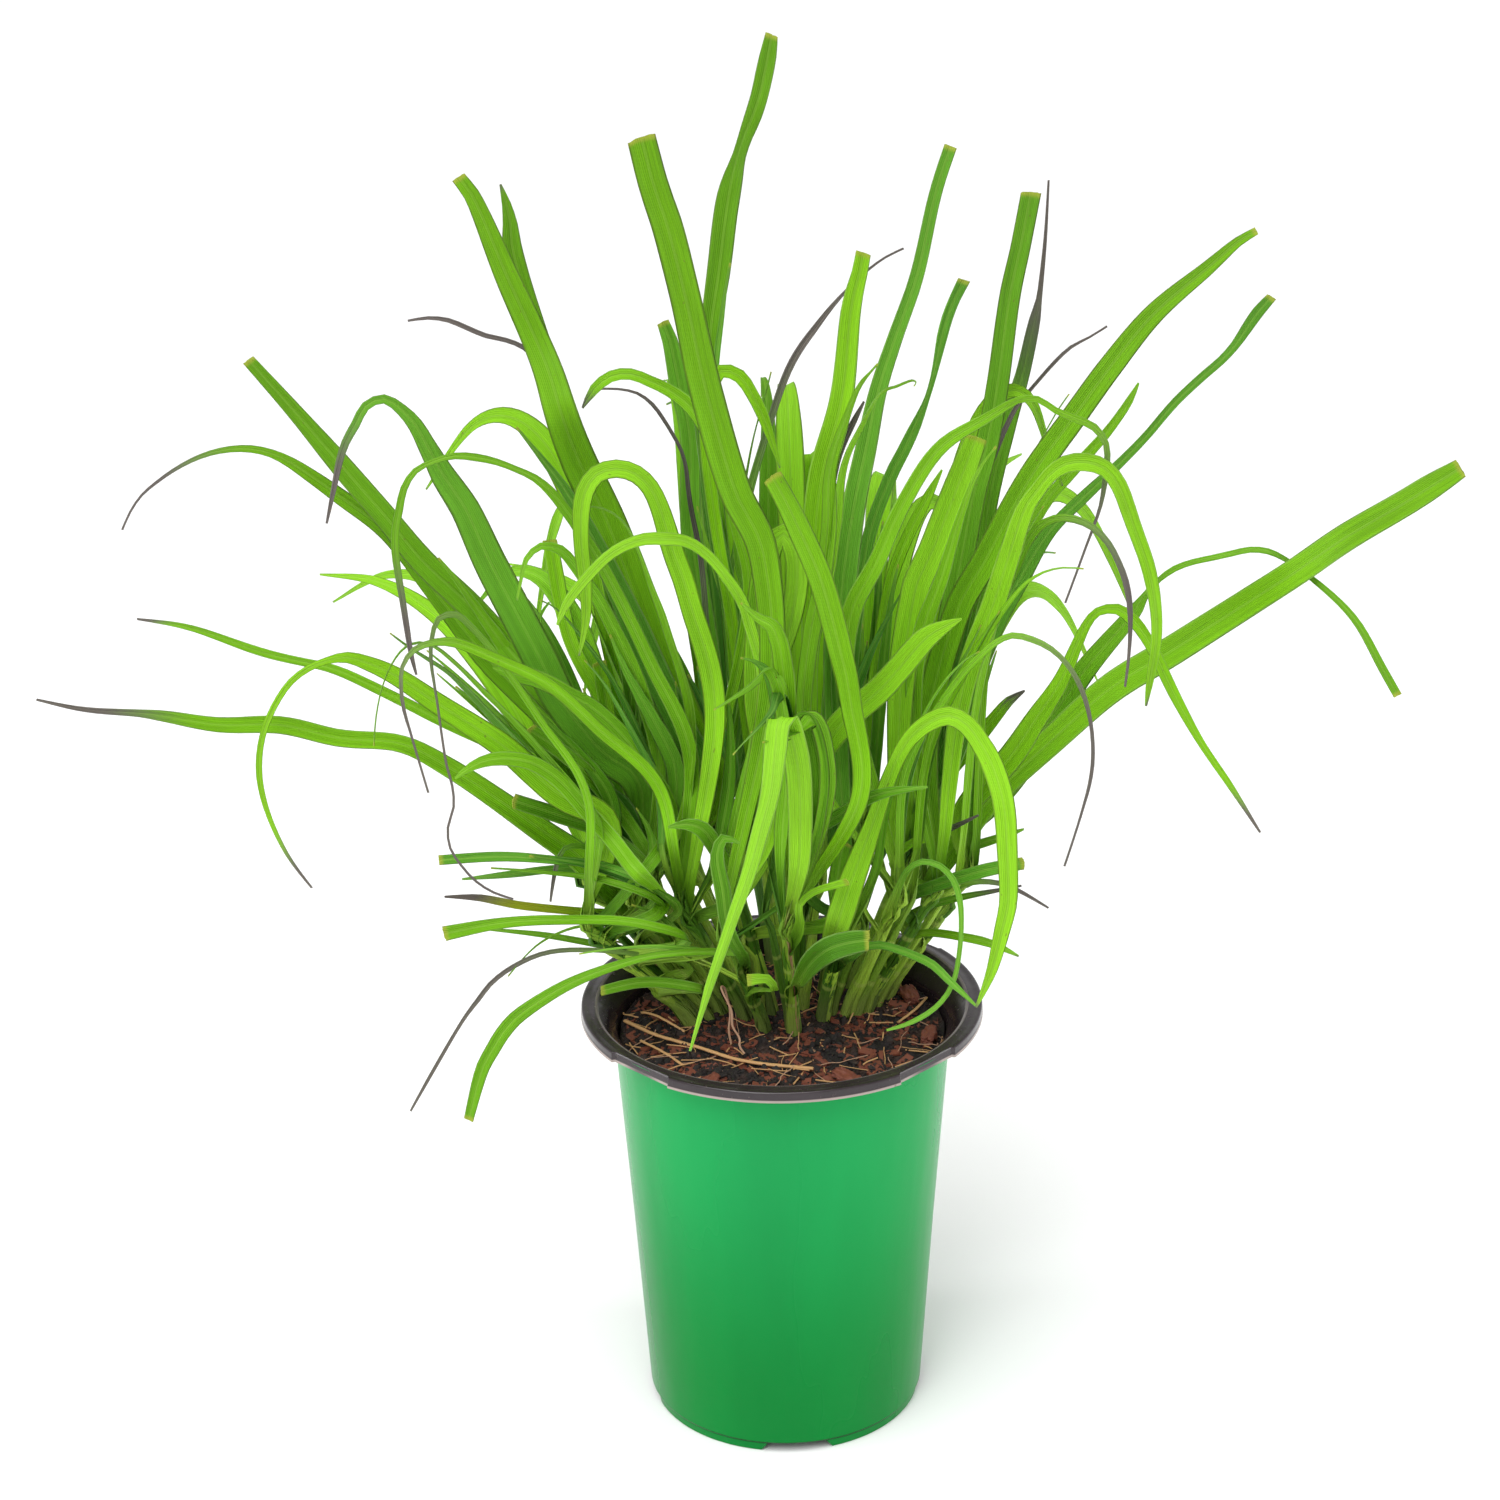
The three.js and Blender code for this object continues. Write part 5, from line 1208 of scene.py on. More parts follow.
# Each fibrous stuff's dark tone, pale tone and roughness.
FIBROUS = {
    "bark": ((0.018, 0.008, 0.005), (0.125, 0.048, 0.024), 0.75),
    "straw": ((0.30, 0.17, 0.075), (0.66, 0.44, 0.22), 0.6),
    "root": ((0.40, 0.23, 0.15), (0.72, 0.50, 0.38), 0.6),
}


def fibrous_material(name):
    """Bark, straw or root: two tones in strands. It is made once and shared."""
    if name in bpy.data.materials:
        return bpy.data.materials[name]
    dark, pale, rough = FIBROUS[name]
    material, graph = new_material(name)
    place = object_place(graph)
    strands = graph.noise(graph.vector("MULTIPLY", place, (420.0, 420.0, 900.0)), 1.0, 3.0, 0.6)
    patch = graph.noise(place, 120.0, 2.0)
    colour = graph.blend(dark, pale, graph.ramp01(strands * 0.5 + patch * 0.5, 0.35, 0.66))
    colour = graph.scaled(colour, 0.65 + patch * 0.7)
    relief = bump(graph, strands, 0.5, 0.0004)
    graph.close("ShaderNodeOutputMaterial", principled(graph, colour, rough, relief))
    return material


def floor_material(stage):
    """The floor's colour, with faint clouds."""
    material, graph = new_material("floor")
    place = object_place(graph)
    darker = [0.99 * value for value in stage.floor]
    colour = graph.blend(darker, stage.floor, graph.noise(place, 3.0, 2.0))
    graph.close("ShaderNodeOutputMaterial", principled(graph, colour, 0.7, specular=0.2))
    return material


# Blades and sheaths.

SECTION_SIDES = 20
# What the stations of a strand carry, as numbers and as directions.
CARRIED = ("half", "roll", "girth", "along", "left", "tint", "age", "slant", "dry")
DIRECTIONS = ("centre", "side", "ahead")

# A sheath, in millimetres: its radius, its swelling at the foot and at the nodes, what each sheath outside
# another adds, how it thins upwards, and half its width.
SHEATH_RADIUS = 2.1
FOOT_SWELLING = 0.6
FOOT_LENGTH = 12.0
NODE_SWELLING = 0.3
NODE_LENGTH = 1.3
LAYER = 0.16
THINNING = 0.008
SHEATH_HALF_WIDTH = 3.2
SHEATH_DEPTH = 3.0
# Where on its blade a sheath starts to open, over what length, and where the blade has its own width.
OPENS_FROM = 2.0
OPENS_OVER = 52.0
OWN_WIDTH_AT = 75.0

# The rolled core of a stalk, whose girth goes down by CORE_CLOSING of itself at its top.
CORE_LAYER = -2.5
CORE_HEIGHT = 66.0
CORE_CLOSING = 0.75
CORE_STEP = 6.0
CORE_HALF_WIDTH = 3.0
CORE_LOOK = {"tint": 0.45, "age": 0.2, "slant": 0.0, "dry": 0.0}

# What is drawn for each stem and leaf: turns in radians, tints, ages, slants of ends, and girths.
STEM_SEED = 3000
STEM_SEED_STEP = 17
STEM_TURN = 2.4
LAYER_TURN = 1.6
LEAF_TURN = 0.5
INNER_TURN = 6.0
FRONT_TINT = 0.25
BACK_TINT = 0.5
TINT_SPREAD = 0.35
# Inner leaves take deeper greens: partly their own colour, partly painted shade for the inside of the clump.
INNER_TINT = 0.38
OLDEST = 0.65
INNER_OLDEST = 0.6
SLANT = 0.8
INNER_SLIM = 0.5
SHOOT_SLIM = 0.65
SHOOT_SLIM_SPREAD = 0.3


def sweep_tree():
    """Sweeps a folded blade section, rolled up where a line says so, along lines that carry their frames."""
    sockets = {
        "Geometry": "Geometry",
        "Steps": "Int",
        "Fold": "Float",
        "Half thickness": "Float",
        "Edge wave": "Float",
        "Wrap": "Float",
        "Material": "Material",
    }
    graph, given = new_tree("Swept blades", sockets)
    turn = graph.node("GeometryNodeInputIndex") / float(SECTION_SIDES)
    section = store(graph, circle(graph, SECTION_SIDES), turn=turn)
    swept = sweep(graph, smooth_curves(graph, given["Geometry"], given["Steps"]), section)

    # The section: its two faces, its keel, its fold and its waved edges.
    turn, half, roll, girth, left, seed, slant = stored(
        graph, "turn", "half", "roll", "girth", "left", "tint", "slant"
    )
    centre, ahead, side = stored(graph, "centre", "ahead", "side", kind="FLOAT_VECTOR")
    across = 1.0 - 4.0 * (0.5 - abs(turn - 0.5))
    width = abs(across)
    face = graph.math("SIGN", 0.5 - turn)
    under = 0.5 - face * 0.5
    thin = graph.math("MINIMUM", given["Half thickness"], half * 0.35)
    body = graph.math("SQRT", graph.math("MAXIMUM", 1.0 - across * across, 0.0))
    keel = graph.fall01(width, 0.0, 0.2) * under
    depth = face * thin * body - keel * thin * 0.9
    ripple = graph.noise(graph.scaled(centre, 55.0), 1.0, 1.0) - 0.5
    flutter = graph.math("MINIMUM", given["Edge wave"], half * 0.3) * ripple * across * width * 2.0
    fold = (width - 0.5) * given["Fold"] * half * (1.0 - roll)
    lift = depth + fold + flutter * (1.0 - roll)

    # The section rolled up round its stalk.
    opened = half + (given["Wrap"] * girth - half) * roll**4.0
    curl = graph.math("MAXIMUM", roll, 0.02) / (girth * (1.0 + 0.07 * across))
    angle = across * opened * curl
    sine, cosine = graph.math("SINE", angle), graph.math("COSINE", angle)
    x = sine / curl - sine * lift
    z = (1.0 - cosine) / curl - girth * roll + cosine * lift

    # A torn or slanted end.
    tear = graph.noise(graph.joined(across * 4.0, seed * 70.0, 0.0), 1.0, 3.0) - 0.5
    push = graph.fall01(left, 0.0, 0.004) * half * (slant * across + tear * 0.8) * 0.6

    side = graph.vector("NORMALIZE", side)
    up = graph.vector("NORMALIZE", graph.vector("CROSS_PRODUCT", ahead, side))
    place = centre
    for direction, distance in ((side, x), (up, z), (ahead, push)):
        place = graph.vector("ADD", place, graph.scaled(direction, distance))
    swept = graph.node("GeometryNodeSetPosition", {"Geometry": swept, "Position": place})
    aside = across * opened * 1000.0
    swept = store(graph, swept, across=across, under=under, aside=aside, left=left * 1000.0)
    spent = ("turn", "centre", "side", "ahead", "half", "girth", "slant")
    return end_tree(graph, swept, given["Material"], *spent)


def sheath_radius(height, layer):
    """A stalk swells at its foot and at its nodes, and each sheath outside another adds its thickness."""
    foot = FOOT_SWELLING * math.exp(-height / FOOT_LENGTH)
    rings = sum(NODE_SWELLING * math.exp(-(((height - at) / NODE_LENGTH) ** 2)) for at in NODE_HEIGHTS)
    return SHEATH_RADIUS + foot + rings + LAYER * layer - THINNING * height


def station(look, along, total, half, roll, girth, centre, side, ahead):
    """What a strand carries at one place. Lengths are given in millimetres, and only along stays in them."""
    lengths = {"left": (total - along) * MM, "half": half * MM, "girth": girth * MM}
    place = {"centre": Vector(centre) * MM, "side": side, "ahead": ahead}
    return {**look, **lengths, **place, "along": along, "roll": roll}


def strand(line, layer, look, spin, slim=1.0):
    """One leaf from its stalk's foot to its tip, as stations. Its sheath's seam turns by spin on the way."""
    foot = stalk_at(STALKS[line.stalk], 0.0) if line.foot is None else line.foot
    start = line.points[0]
    rise = np.linalg.norm(start - foot)
    total = rise + line.step * (len(line.points) - 1)
    axis = Vector(start - foot).normalized()
    first = line.frames[0][1]
    count = max(2, round(rise / SAMPLE_STEP))
    stations = []
    for i in range(count):
        along = rise * i / count
        point = foot + (start - foot) * (i / count)
        if i == 0:
            point = point - np.array([0, 0, SHEATH_DEPTH])
        side = (first - axis * first.dot(axis)).normalized()
        side.rotate(Matrix.Rotation(spin * (1 - i / count), 3, axis))
        girth = slim * sheath_radius(min(along, STALK_LENGTH), layer)
        stations.append(station(look, along, total, SHEATH_HALF_WIDTH, 1.0, girth, point, side, axis))
    for i, point in enumerate(line.points):
        from_base = i * line.step
        along = rise + from_base
        ahead, side, _ = line.frames[i]
        roll = 1 - smooth_step((from_base - OPENS_FROM) / OPENS_OVER)
        sheath = SHEATH_HALF_WIDTH * slim * (1 - smooth_step(from_base / OWN_WIDTH_AT))
        half = max(line.widths[i] / 2, sheath)
        girth = slim * sheath_radius(min(along, STALK_LENGTH), layer)
        stations.append(station(look, along, total, half, roll, girth, point, side, ahead))
    return stations


def core_strand(stalk, spin):
    """A stalk's core: a rolled sheath with no blade, drawn in towards its top."""
    foot = stalk_at(STALKS[stalk], 0.0)
    top = stalk_at(STALKS[stalk], CORE_HEIGHT / STALK_LENGTH)
    axis = Vector(top - foot).normalized()
    side = axis.cross(Vector((0, 1, 0))).normalized()
    side.rotate(Matrix.Rotation(spin, 3, axis))
    count = max(4, round(CORE_HEIGHT / CORE_STEP))
    stations = []
    for i in range(count + 1):
        share = i / count
        along = CORE_HEIGHT * share
        point = foot + (top - foot) * share - np.array([0, 0, SHEATH_DEPTH * (i == 0)])
        girth = sheath_radius(along, CORE_LAYER) * (1 - CORE_CLOSING * share**3)
        values = (along, CORE_HEIGHT, CORE_HALF_WIDTH, 1.0, girth, point, side, axis)
        stations.append(station(CORE_LOOK, *values))
    return stations


def strands_object(name, strands):
    """Strands as chains of edges that carry their values."""
    stations = [place for row in strands for place in row]
    edges = []
    start = 0
    for row in strands:
        edges += [(i, i + 1) for i in range(start, start + len(row) - 1)]
        start += len(row)
    mesh = bpy.data.meshes.new(name)
    mesh.from_pydata([tuple(place["centre"]) for place in stations], edges, [])
    for key in CARRIED:
        values = [place[key] for place in stations]
        mesh.attributes.new(key, "FLOAT", "POINT").data.foreach_set("value", values)
    for key in DIRECTIONS:
        values = [value for place in stations for value in place[key]]
        mesh.attributes.new(key, "FLOAT_VECTOR", "POINT").data.foreach_set("vector", values)
    return add_object(name, mesh)


# How bright a leaf's green is. The others draw theirs.
LEAF_TINTS = {
    "C2": 0.8, "C3": 0.72, "C4": 0.7, "C1": 0.85, "C6": 0.8, "C11": 0.08, "C13": 0.8, "T": 0.65, "H": 0.72,
    "M6": 0.85, "I": 0.5, "J": 0.38, "A": 0.22, "B": 0.34, "C": 0.34, "K": 0.26, "M": 0.26, "I2": 0.6,
    "E": 0.24, "F": 0.15, "G2": 0.15, "O": 0.15, "R13": 0.2, "R15": 0.2, "L": 0.18, "A2": 0.3, "N": 0.28,
    "Q": 0.32, "X": 0.38, "W": 0.34, "S": 0.2, "AA": 0.24, "BB": 0.3, "L1": 0.15, "L4": 0.28, "L5": 0.2,
    "L7": 0.22, "L3": 0.3, "L2": 0.2, "L8": 0.2, "C9": 0.15, "C8": 0.12, "C5": 0.15, "C7": 0.2,
    "C12": 0.2, "M8": 0.3, "M9": 0.2, "M10": 0.12, "M11": 0.3, "R18": 0.7, "P": 0.4, "U": 0.3, "V": 0.45,
    "M1": 0.6, "M5": 0.5, "R1": 0.2, "R2": 0.2, "R3": 0.15, "R4": 0.2, "R6": 0.3,
}
# How much of a leaf has dried from its tip. The others have hardly begun to.
WITHERED = {
    "F": 0.7, "N": 0.32, "O": 0.7, "R15": 0.45, "R13": 0.35, "L6": 0.8, "P": 0.22, "U": 0.3, "V": 0.1,
    "GG": 0.1, "BB": 0.18, "HH": 0.2, "FF": 0.08, "DD": 0.15, "EE": 0.15, "II": 0.3, "JJ": 0.5, "L3": 0.25,
    "G2": 0.7, "G": 0.05, "R9": 0.45, "KK": 0.3, "R3": 0.3, "R4": 0.5, "R6": 0.1, "R20": 0.2, "R8": 0.3,
}
HARDLY_WITHERED = 0.03
# Leaves that are yellow below their dry tips.
YELLOWED = ("L3",)
YELLOWED_AGE = 0.72
# How many of the shoots have a dead sheath.
DEAD_SHARE = 0.12


def stem_strands(stalk, lines, names, inner):
    """All the strands of one stem: its core, its leaves from the innermost out, and its inner leaves."""
    draw = make_random(STEM_SEED + STEM_SEED_STEP * stalk)
    own = sorted((i for i, line in enumerate(lines) if line.stalk == stalk), key=lambda i: -lines[i].share)
    turn = STEM_TURN * (draw() - 0.5)
    strands = [core_strand(stalk, turn)]
    for layer, i in enumerate(own):
        line, name = lines[i], names[i]
        usual = BACK_TINT if name.startswith("back") else FRONT_TINT
        tint = LEAF_TINTS.get(name, usual + TINT_SPREAD * draw())
        length = line.step * len(line.points)
        spin = turn + (layer % 2) * LAYER_TURN + LEAF_TURN * (draw() - 0.5)
        look = {
            "tint": tint,
            "age": YELLOWED_AGE if name in YELLOWED else OLDEST * draw(),
            "slant": SLANT * (draw() - 0.5),
            "dry": 0.0 if line.end == "cut" else WITHERED.get(name, HARDLY_WITHERED) * length,
        }
        strands.append(strand(line, layer, look, spin))
    for line in inner:
        spin = INNER_TURN * (draw() - 0.5)
        look = {
            "tint": INNER_TINT * draw(),
            "age": 1.0 if line.foot is not None and draw() < DEAD_SHARE else INNER_OLDEST * draw(),
            "slant": SLANT * (draw() - 0.5),
            "dry": 0.0,
        }
        slim = INNER_SLIM if line.foot is None else SHOOT_SLIM + SHOOT_SLIM_SPREAD * draw()
        strands.append(strand(line, 0, look, spin, slim))
    return strands


class LemongrassStemsOperator(bpy.types.Operator):
    """Makes each stem's blades and sheaths, in place of its plain one"""

    bl_idname = "lemongrass.stems"
    bl_label = "Stems"

    def execute(self, context):
        leaf = context.scene.lemongrass.leaf
        tree = sweep_tree()
        lines = plant_lines()
        names = [name for name, *_ in [*traced_leaves(), *back_leaves()]]
        inner = inner_lines(lines)
        values = {
            "Steps": leaf.steps,
            "Fold": leaf.fold,
            "Half thickness": leaf.thickness / 2,
            "Edge wave": leaf.wave,
            "Wrap": leaf.wrap,
            "Material": leaf_material(leaf),
        }
        for stalk in range(len(STALKS)):
            node = f"stem_{stalk + 1:02d}"
            own = [line for line in inner if line.stalk == stalk]
            made = strands_object(node + "_leaves", stem_strands(stalk, lines, names, own))
            run_tree(made, tree, values)
            finish_piece(made, "leaf", node)
        return {"FINISHED"}


# Pot.


def rounded_profile(corners):
    """Corners [radius, height, rounding] as a line whose corners are arcs."""
    line = []
    count = len(corners)
    for i, (radius, height, rounding) in enumerate(corners):
        here = np.array([radius, height])
        if rounding == 0:
            line.append(here)
            continue
        before = np.array(corners[i - 1][:2]) - here
        after = np.array(corners[(i + 1) % count][:2]) - here
        start = here + before / np.linalg.norm(before) * rounding
        end = here + after / np.linalg.norm(after) * rounding
        for share in (0, 0.25, 0.5, 0.75, 1):
            line.append((1 - share) ** 2 * start + 2 * share * (1 - share) * here + share**2 * end)
    return line


def pot_profile():
    """The pot's closed section, from its floor's middle round the outside and back, and where grey starts."""
    wall_foot = FOOT_RADIUS + STEP_OUT
    skirt_foot = POT_HEIGHT - SKIRT
    outside = [
        [0, FOOT_HEIGHT, 0],
        [FOOT_RADIUS - WALL - 0.4, FOOT_HEIGHT, 0.6],
        [FOOT_RADIUS - WALL, 0.02, 0.4],
        [FOOT_RADIUS - 0.1, 0, 0.6],
        [FOOT_RADIUS + 0.3, FOOT_HEIGHT - 0.6, 0.4],
        [wall_foot, FOOT_HEIGHT + 0.3, 0.35],
        [wall_foot + 0.45 * (SHOULDER_RADIUS - wall_foot), 85, 0],
        [SHOULDER_RADIUS, SHOULDER_HEIGHT, 2.0],
        [RIM_INNER_RADIUS + 1.2, POT_HEIGHT - WALL, 1.2],
        [RIM_RADIUS - WALL - 0.3, POT_HEIGHT - WALL, 1.0],
    ]
    inside = [
        [RIM_RADIUS - WALL - 0.3, skirt_foot, 0.5],
        [RIM_RADIUS + 0.45, skirt_foot - 0.05, 0.7],
        [RIM_RADIUS - 0.15, skirt_foot + 1.6, 0.6],
        [RIM_RADIUS, POT_HEIGHT, 1.1],
        [RIM_RADIUS - 3.2, POT_HEIGHT - 0.35, 0.8],
        [RIM_INNER_RADIUS, POT_HEIGHT, 1.0],
        [SHOULDER_RADIUS + 2.2, POT_HEIGHT - 4.4, 1.5],
        [SHOULDER_RADIUS - WALL, SHOULDER_HEIGHT - 1, 2.0],
        [wall_foot - WALL, FOOT_HEIGHT + WALL, 1.5],
        [0, FOOT_HEIGHT + WALL, 0],
    ]
    line = rounded_profile([*outside, *inside])
    green = len(rounded_profile(outside))
    return line, green


def pot_angles(sides):
    """Even turns round the pot, and closer ones at the ends of the rim's flats and of the foot's notches."""
    turns = {round(360 * i / sides, 4) for i in range(sides)}
    edge = math.degrees(math.asin(FLAT_HALF_WIDTH / FLAT_DISTANCE))
    notch = [math.degrees(math.asin((NOTCH_HALF_WIDTH + way * NOTCH_FLARE) / FOOT_RADIUS)) for way in (-1, 1)]
    for quarter in range(4):
        for way in (-1, 1):
            middle = FLAT_TURN + 90 * quarter + way * edge
            turns |= {round((middle + step) % 360, 4) for step in (-0.5, -0.15, 0.15, 0.5)}
            middle = 270 + NOTCH_TURN + 90 * quarter
            turns |= {round((middle + way * at) % 360, 4) for at in notch}
    return sorted(turns)


def off_quarter(turn, middle):
    """How far a turn is past the nearest of four even ones, in degrees."""
    return (turn - middle + 45) % 90 - 45


def pressed(radius, height, turn):
    """A point of the pot's section at a turn in degrees, with the flats and the notches pressed in."""
    flat = math.radians(off_quarter(turn, FLAT_TURN))
    reach = FLAT_DISTANCE / math.cos(flat)
    if height > POT_HEIGHT - SKIRT - 1 and abs(FLAT_DISTANCE * math.tan(flat)) < FLAT_HALF_WIDTH:
        if radius > RIM_RADIUS - WALL - 0.6 and height < POT_HEIGHT - 0.5:
            behind = WALL if radius < RIM_RADIUS - 1 and height < POT_HEIGHT - 1 else 0
            radius = min(radius, reach - behind)
        elif radius > RIM_RADIUS - 1.2:
            radius = min(radius, reach - 0.2)
    if height < NOTCH_HEIGHT:
        aside = abs(FOOT_RADIUS * math.sin(math.radians(off_quarter(turn, 270 + NOTCH_TURN))))
        share = (NOTCH_HALF_WIDTH + NOTCH_FLARE - aside) / (2 * NOTCH_FLARE)
        height = max(height, NOTCH_HEIGHT * min(1.0, max(0.0, share)))
    return radius, height


class LemongrassPotOperator(bpy.types.Operator):
    """Makes the thermoformed pot, green outside and grey inside, with its drain holes"""

    bl_idname = "lemongrass.pot"
    bl_label = "Pot"

    def execute(self, context):
        pot = context.scene.lemongrass.pot
        profile, green = pot_profile()
        turns = pot_angles(pot.sides)
        rows = len(profile) - 2
        vertices = []
        for turn in turns:
            c, s = math.cos(math.radians(turn)), math.sin(math.radians(turn))
            for radius, height in profile[1:-1]:
                radius, height = pressed(radius, height, turn)
                vertices.append((radius * c, radius * s, height))
        vertices += [(0, 0, profile[0][1]), (0, 0, profile[-1][1])]
        bottom, top = len(vertices) - 2, len(vertices) - 1
        faces, kinds = [], []
        for i in range(len(turns)):
            a, b = i * rows, (i + 1) % len(turns) * rows
            faces.append((bottom, b, a))
            kinds.append(0)
            for j in range(rows - 1):
                faces.append((a + j, b + j, b + j + 1, a + j + 1))
                kinds.append(0 if j + 2 <= green else 1)
            faces.append((a + rows - 1, b + rows - 1, top))
            kinds.append(1)
        made = mesh_object("pot_shell", vertices, [], faces)
        for material in (pot_green_material(pot), pot_grey_material(pot)):
            made.data.materials.append(material)
        made.data.polygons.foreach_set("material_index", kinds)
        drill(made)
        face_outwards(made.data)
        finish_piece(made, "pot_green", "pot")
        return {"FINISHED"}


def drill(made):
    """Cuts the drain holes with one cutter of six pins."""
    radius = DRAIN_RADIUS * MM
    sizes = {"radius1": radius, "radius2": radius, "depth": DRAIN_CUT * MM, "segments": DRAIN_SIDES}
    work = bmesh.new()
    for hole in range(DRAIN_HOLES):
        turn = Matrix.Rotation(math.tau * hole / DRAIN_HOLES, 4, "Z")
        place = turn @ Matrix.Translation((DRAIN_CIRCLE * MM, 0, (FOOT_HEIGHT + WALL / 2) * MM))
        bmesh.ops.create_cone(work, cap_ends=True, matrix=place, **sizes)
    mesh = bpy.data.meshes.new("pins")
    work.to_mesh(mesh)
    work.free()
    pins = add_object("pins", mesh)
    cut = made.modifiers.new("cut", "BOOLEAN")
    cut.operation = "DIFFERENCE"
    cut.object = pins
    apply_modifier(made, cut)
    bpy.data.objects.remove(pins)
    bpy.data.meshes.remove(mesh)


# Potting mix and what lies in it.

MIX_SIDES = 150
MIX_RINGS = 56
MIX_RING_BEND = 0.9
# The mix's roughness: the height and size of its lumps and of its grain.
MIX_ROUGHNESS = ((2.0, 11.0), (0.7, 3.0))
MIX_EDGE_DROP = 3.0
MIX_FOOT_GAP = 0.8

# Things are strewn where the mix faces up more than this, and turned up to this angle either way.
UPWARD = 0.3
MOST_TURN = 3.2
TURN_SEED = 5
SIZE_SEED = 9
STREW_SEED = 11
# How far crumbs and flakes tilt, and fibres too.
CRUMB_TILT = (3.1, 3.1)
FLAKE_TILT = (0.3, 0.3)
FIBRE_TILT = (0.0, 0.25)
FIBRE_POINTS = 9
FIBRE_SIDES = 5
# What is strewn over the mix: its least and most size, its bend, and how far from the middle it may reach.
STREWN = {
    "crumbs": ((0.4, 0.4, 0.3), (1.5, 1.4, 1.1), 0.9, 66.6),
    "lumps": ((1.4, 1.2, 0.9), (3.4, 2.6, 1.9), 1.8, 64.5),
    "flakes": ((1.0, 0.6, 0.2), (4.2, 2.2, 0.6), 1.3, 64.5),
    "fibres": ((4.0, 0.12, 0.5), (17.0, 0.36, 2.4), 4.0, 66.4),
    "roots": ((10.0, 0.14, 0.8), (24.0, 0.26, 3.2), 9.0, 66.2),
}

ROD_STEPS = 12
ROD_SIDES = 14
# How flat straws and roots are, and their girth over their radius.
ROD_FLATNESS = {"straw": 0.7, "root": 1.0}
ROD_GIRTH = {"straw": 0.9, "root": 0.5}

CHIP_SEED = 7
CHIP_CUTS = 12
CHIP_LIFT = 1.1


def rough(x, y, size):
    return noise.fractal(Vector((x / size, y / size, 3.7)), 0.8, 2.0, 4)


def inner_radius(height):
    """The pot's inner radius."""
    foot = FOOT_RADIUS + STEP_OUT - WALL
    share = (height - FOOT_HEIGHT - WALL) / (SHOULDER_HEIGHT - 1 - FOOT_HEIGHT - WALL)
    return foot + share * (SHOULDER_RADIUS - WALL - foot)


def rough_height(x, y):
    """The height of the mix with its lumps and its grain."""
    level = mix_height(x, y)
    for height, size in MIX_ROUGHNESS:
        level += height * rough(x, y, size)
    return level


def mix_object():
    """A closed body of potting mix with a rough top."""
    bottom = FOOT_HEIGHT + WALL + MIX_GAP
    outer = inner_radius(MIX_LEVEL - MIX_EDGE_DROP) - MIX_GAP
    rows = [[inner_radius(bottom) - MIX_GAP - MIX_FOOT_GAP, bottom]]
    rows += [[outer * (1 - (i / MIX_RINGS) ** MIX_RING_BEND), None] for i in range(MIX_RINGS)]
    vertices, faces = [], []
    for radius, height in rows:
        for i in range(MIX_SIDES):
            turn = math.tau * i / MIX_SIDES
            x, y = radius * math.cos(turn), radius * math.sin(turn)
            vertices.append((x, y, rough_height(x, y) if height is None else height))
    for j in range(len(rows) - 1):
        a, b = j * MIX_SIDES, (j + 1) * MIX_SIDES
        for i in range(MIX_SIDES):
            k = (i + 1) % MIX_SIDES
            faces.append((a + i, a + k, b + k, b + i))
    faces.append(tuple(reversed(range(MIX_SIDES))))
    middle = len(vertices)
    vertices.append((0, 0, mix_height(0, 0)))
    last = (len(rows) - 1) * MIX_SIDES
    faces += [(last + i, last + (i + 1) % MIX_SIDES, middle) for i in range(MIX_SIDES)]
    return mesh_object("mix_body", vertices, [], faces)


SCATTER_SOCKETS = {
    "Geometry": "Geometry",
    "Density": "Float",
    "Seed": "Int",
    "Least": "Vector",
    "Most": "Vector",
    "Bend": "Float",
    "Limit": "Float",
    "Material": "Material",
}


def scattered_points(graph, given):
    """Seeded points on the upward faces."""
    upward = graph.part(graph.node("GeometryNodeInputNormal"), "Z")
    selection = graph.node("FunctionNodeCompare", {0: upward, 1: UPWARD}, operation="GREATER_THAN")
    sockets = {"Geometry": given["Geometry"], "Selection": selection}
    top = graph.node("GeometryNodeSeparateGeometry", sockets, domain="FACE")
    sockets = {"Mesh": top, "Density": given["Density"], "Seed": given["Seed"]}
    return graph.node("GeometryNodeDistributePointsOnFaces", sockets)


def random_vector(graph, least, most, seed):
    sockets = {0: least, 1: most, "Seed": seed}
    return graph.node("FunctionNodeRandomValue", sockets, data_type="FLOAT_VECTOR")


def strewn(graph, given, points, thing, tilt, size, *shake):
    """A copy of a thing at each point, tilted and turned at random, bent, and moved back inside the pot."""
    most = (*tilt, MOST_TURN)
    turns = random_vector(graph, [-angle for angle in most], most, TURN_SEED)
    sockets = {"Points": points, "Instance": thing, "Rotation": turns, "Scale": size}
    made = graph.node("GeometryNodeInstanceOnPoints", sockets)
    made = graph.node("GeometryNodeRealizeInstances", {0: made})
    scale, detail, *spread = shake
    made = shaken(graph, made, scale, detail, given["Bend"], *spread)
    place = graph.node("GeometryNodeInputPosition")
    radius = graph.math("MAXIMUM", graph.from_axis(place), 0.001)
    share = graph.math("MINIMUM", given["Limit"] / radius, 1.0)
    pulled = graph.vector("MULTIPLY", place, graph.joined(share, share, 1.0))
    return graph.node("GeometryNodeSetPosition", {"Geometry": made, "Position": pulled})


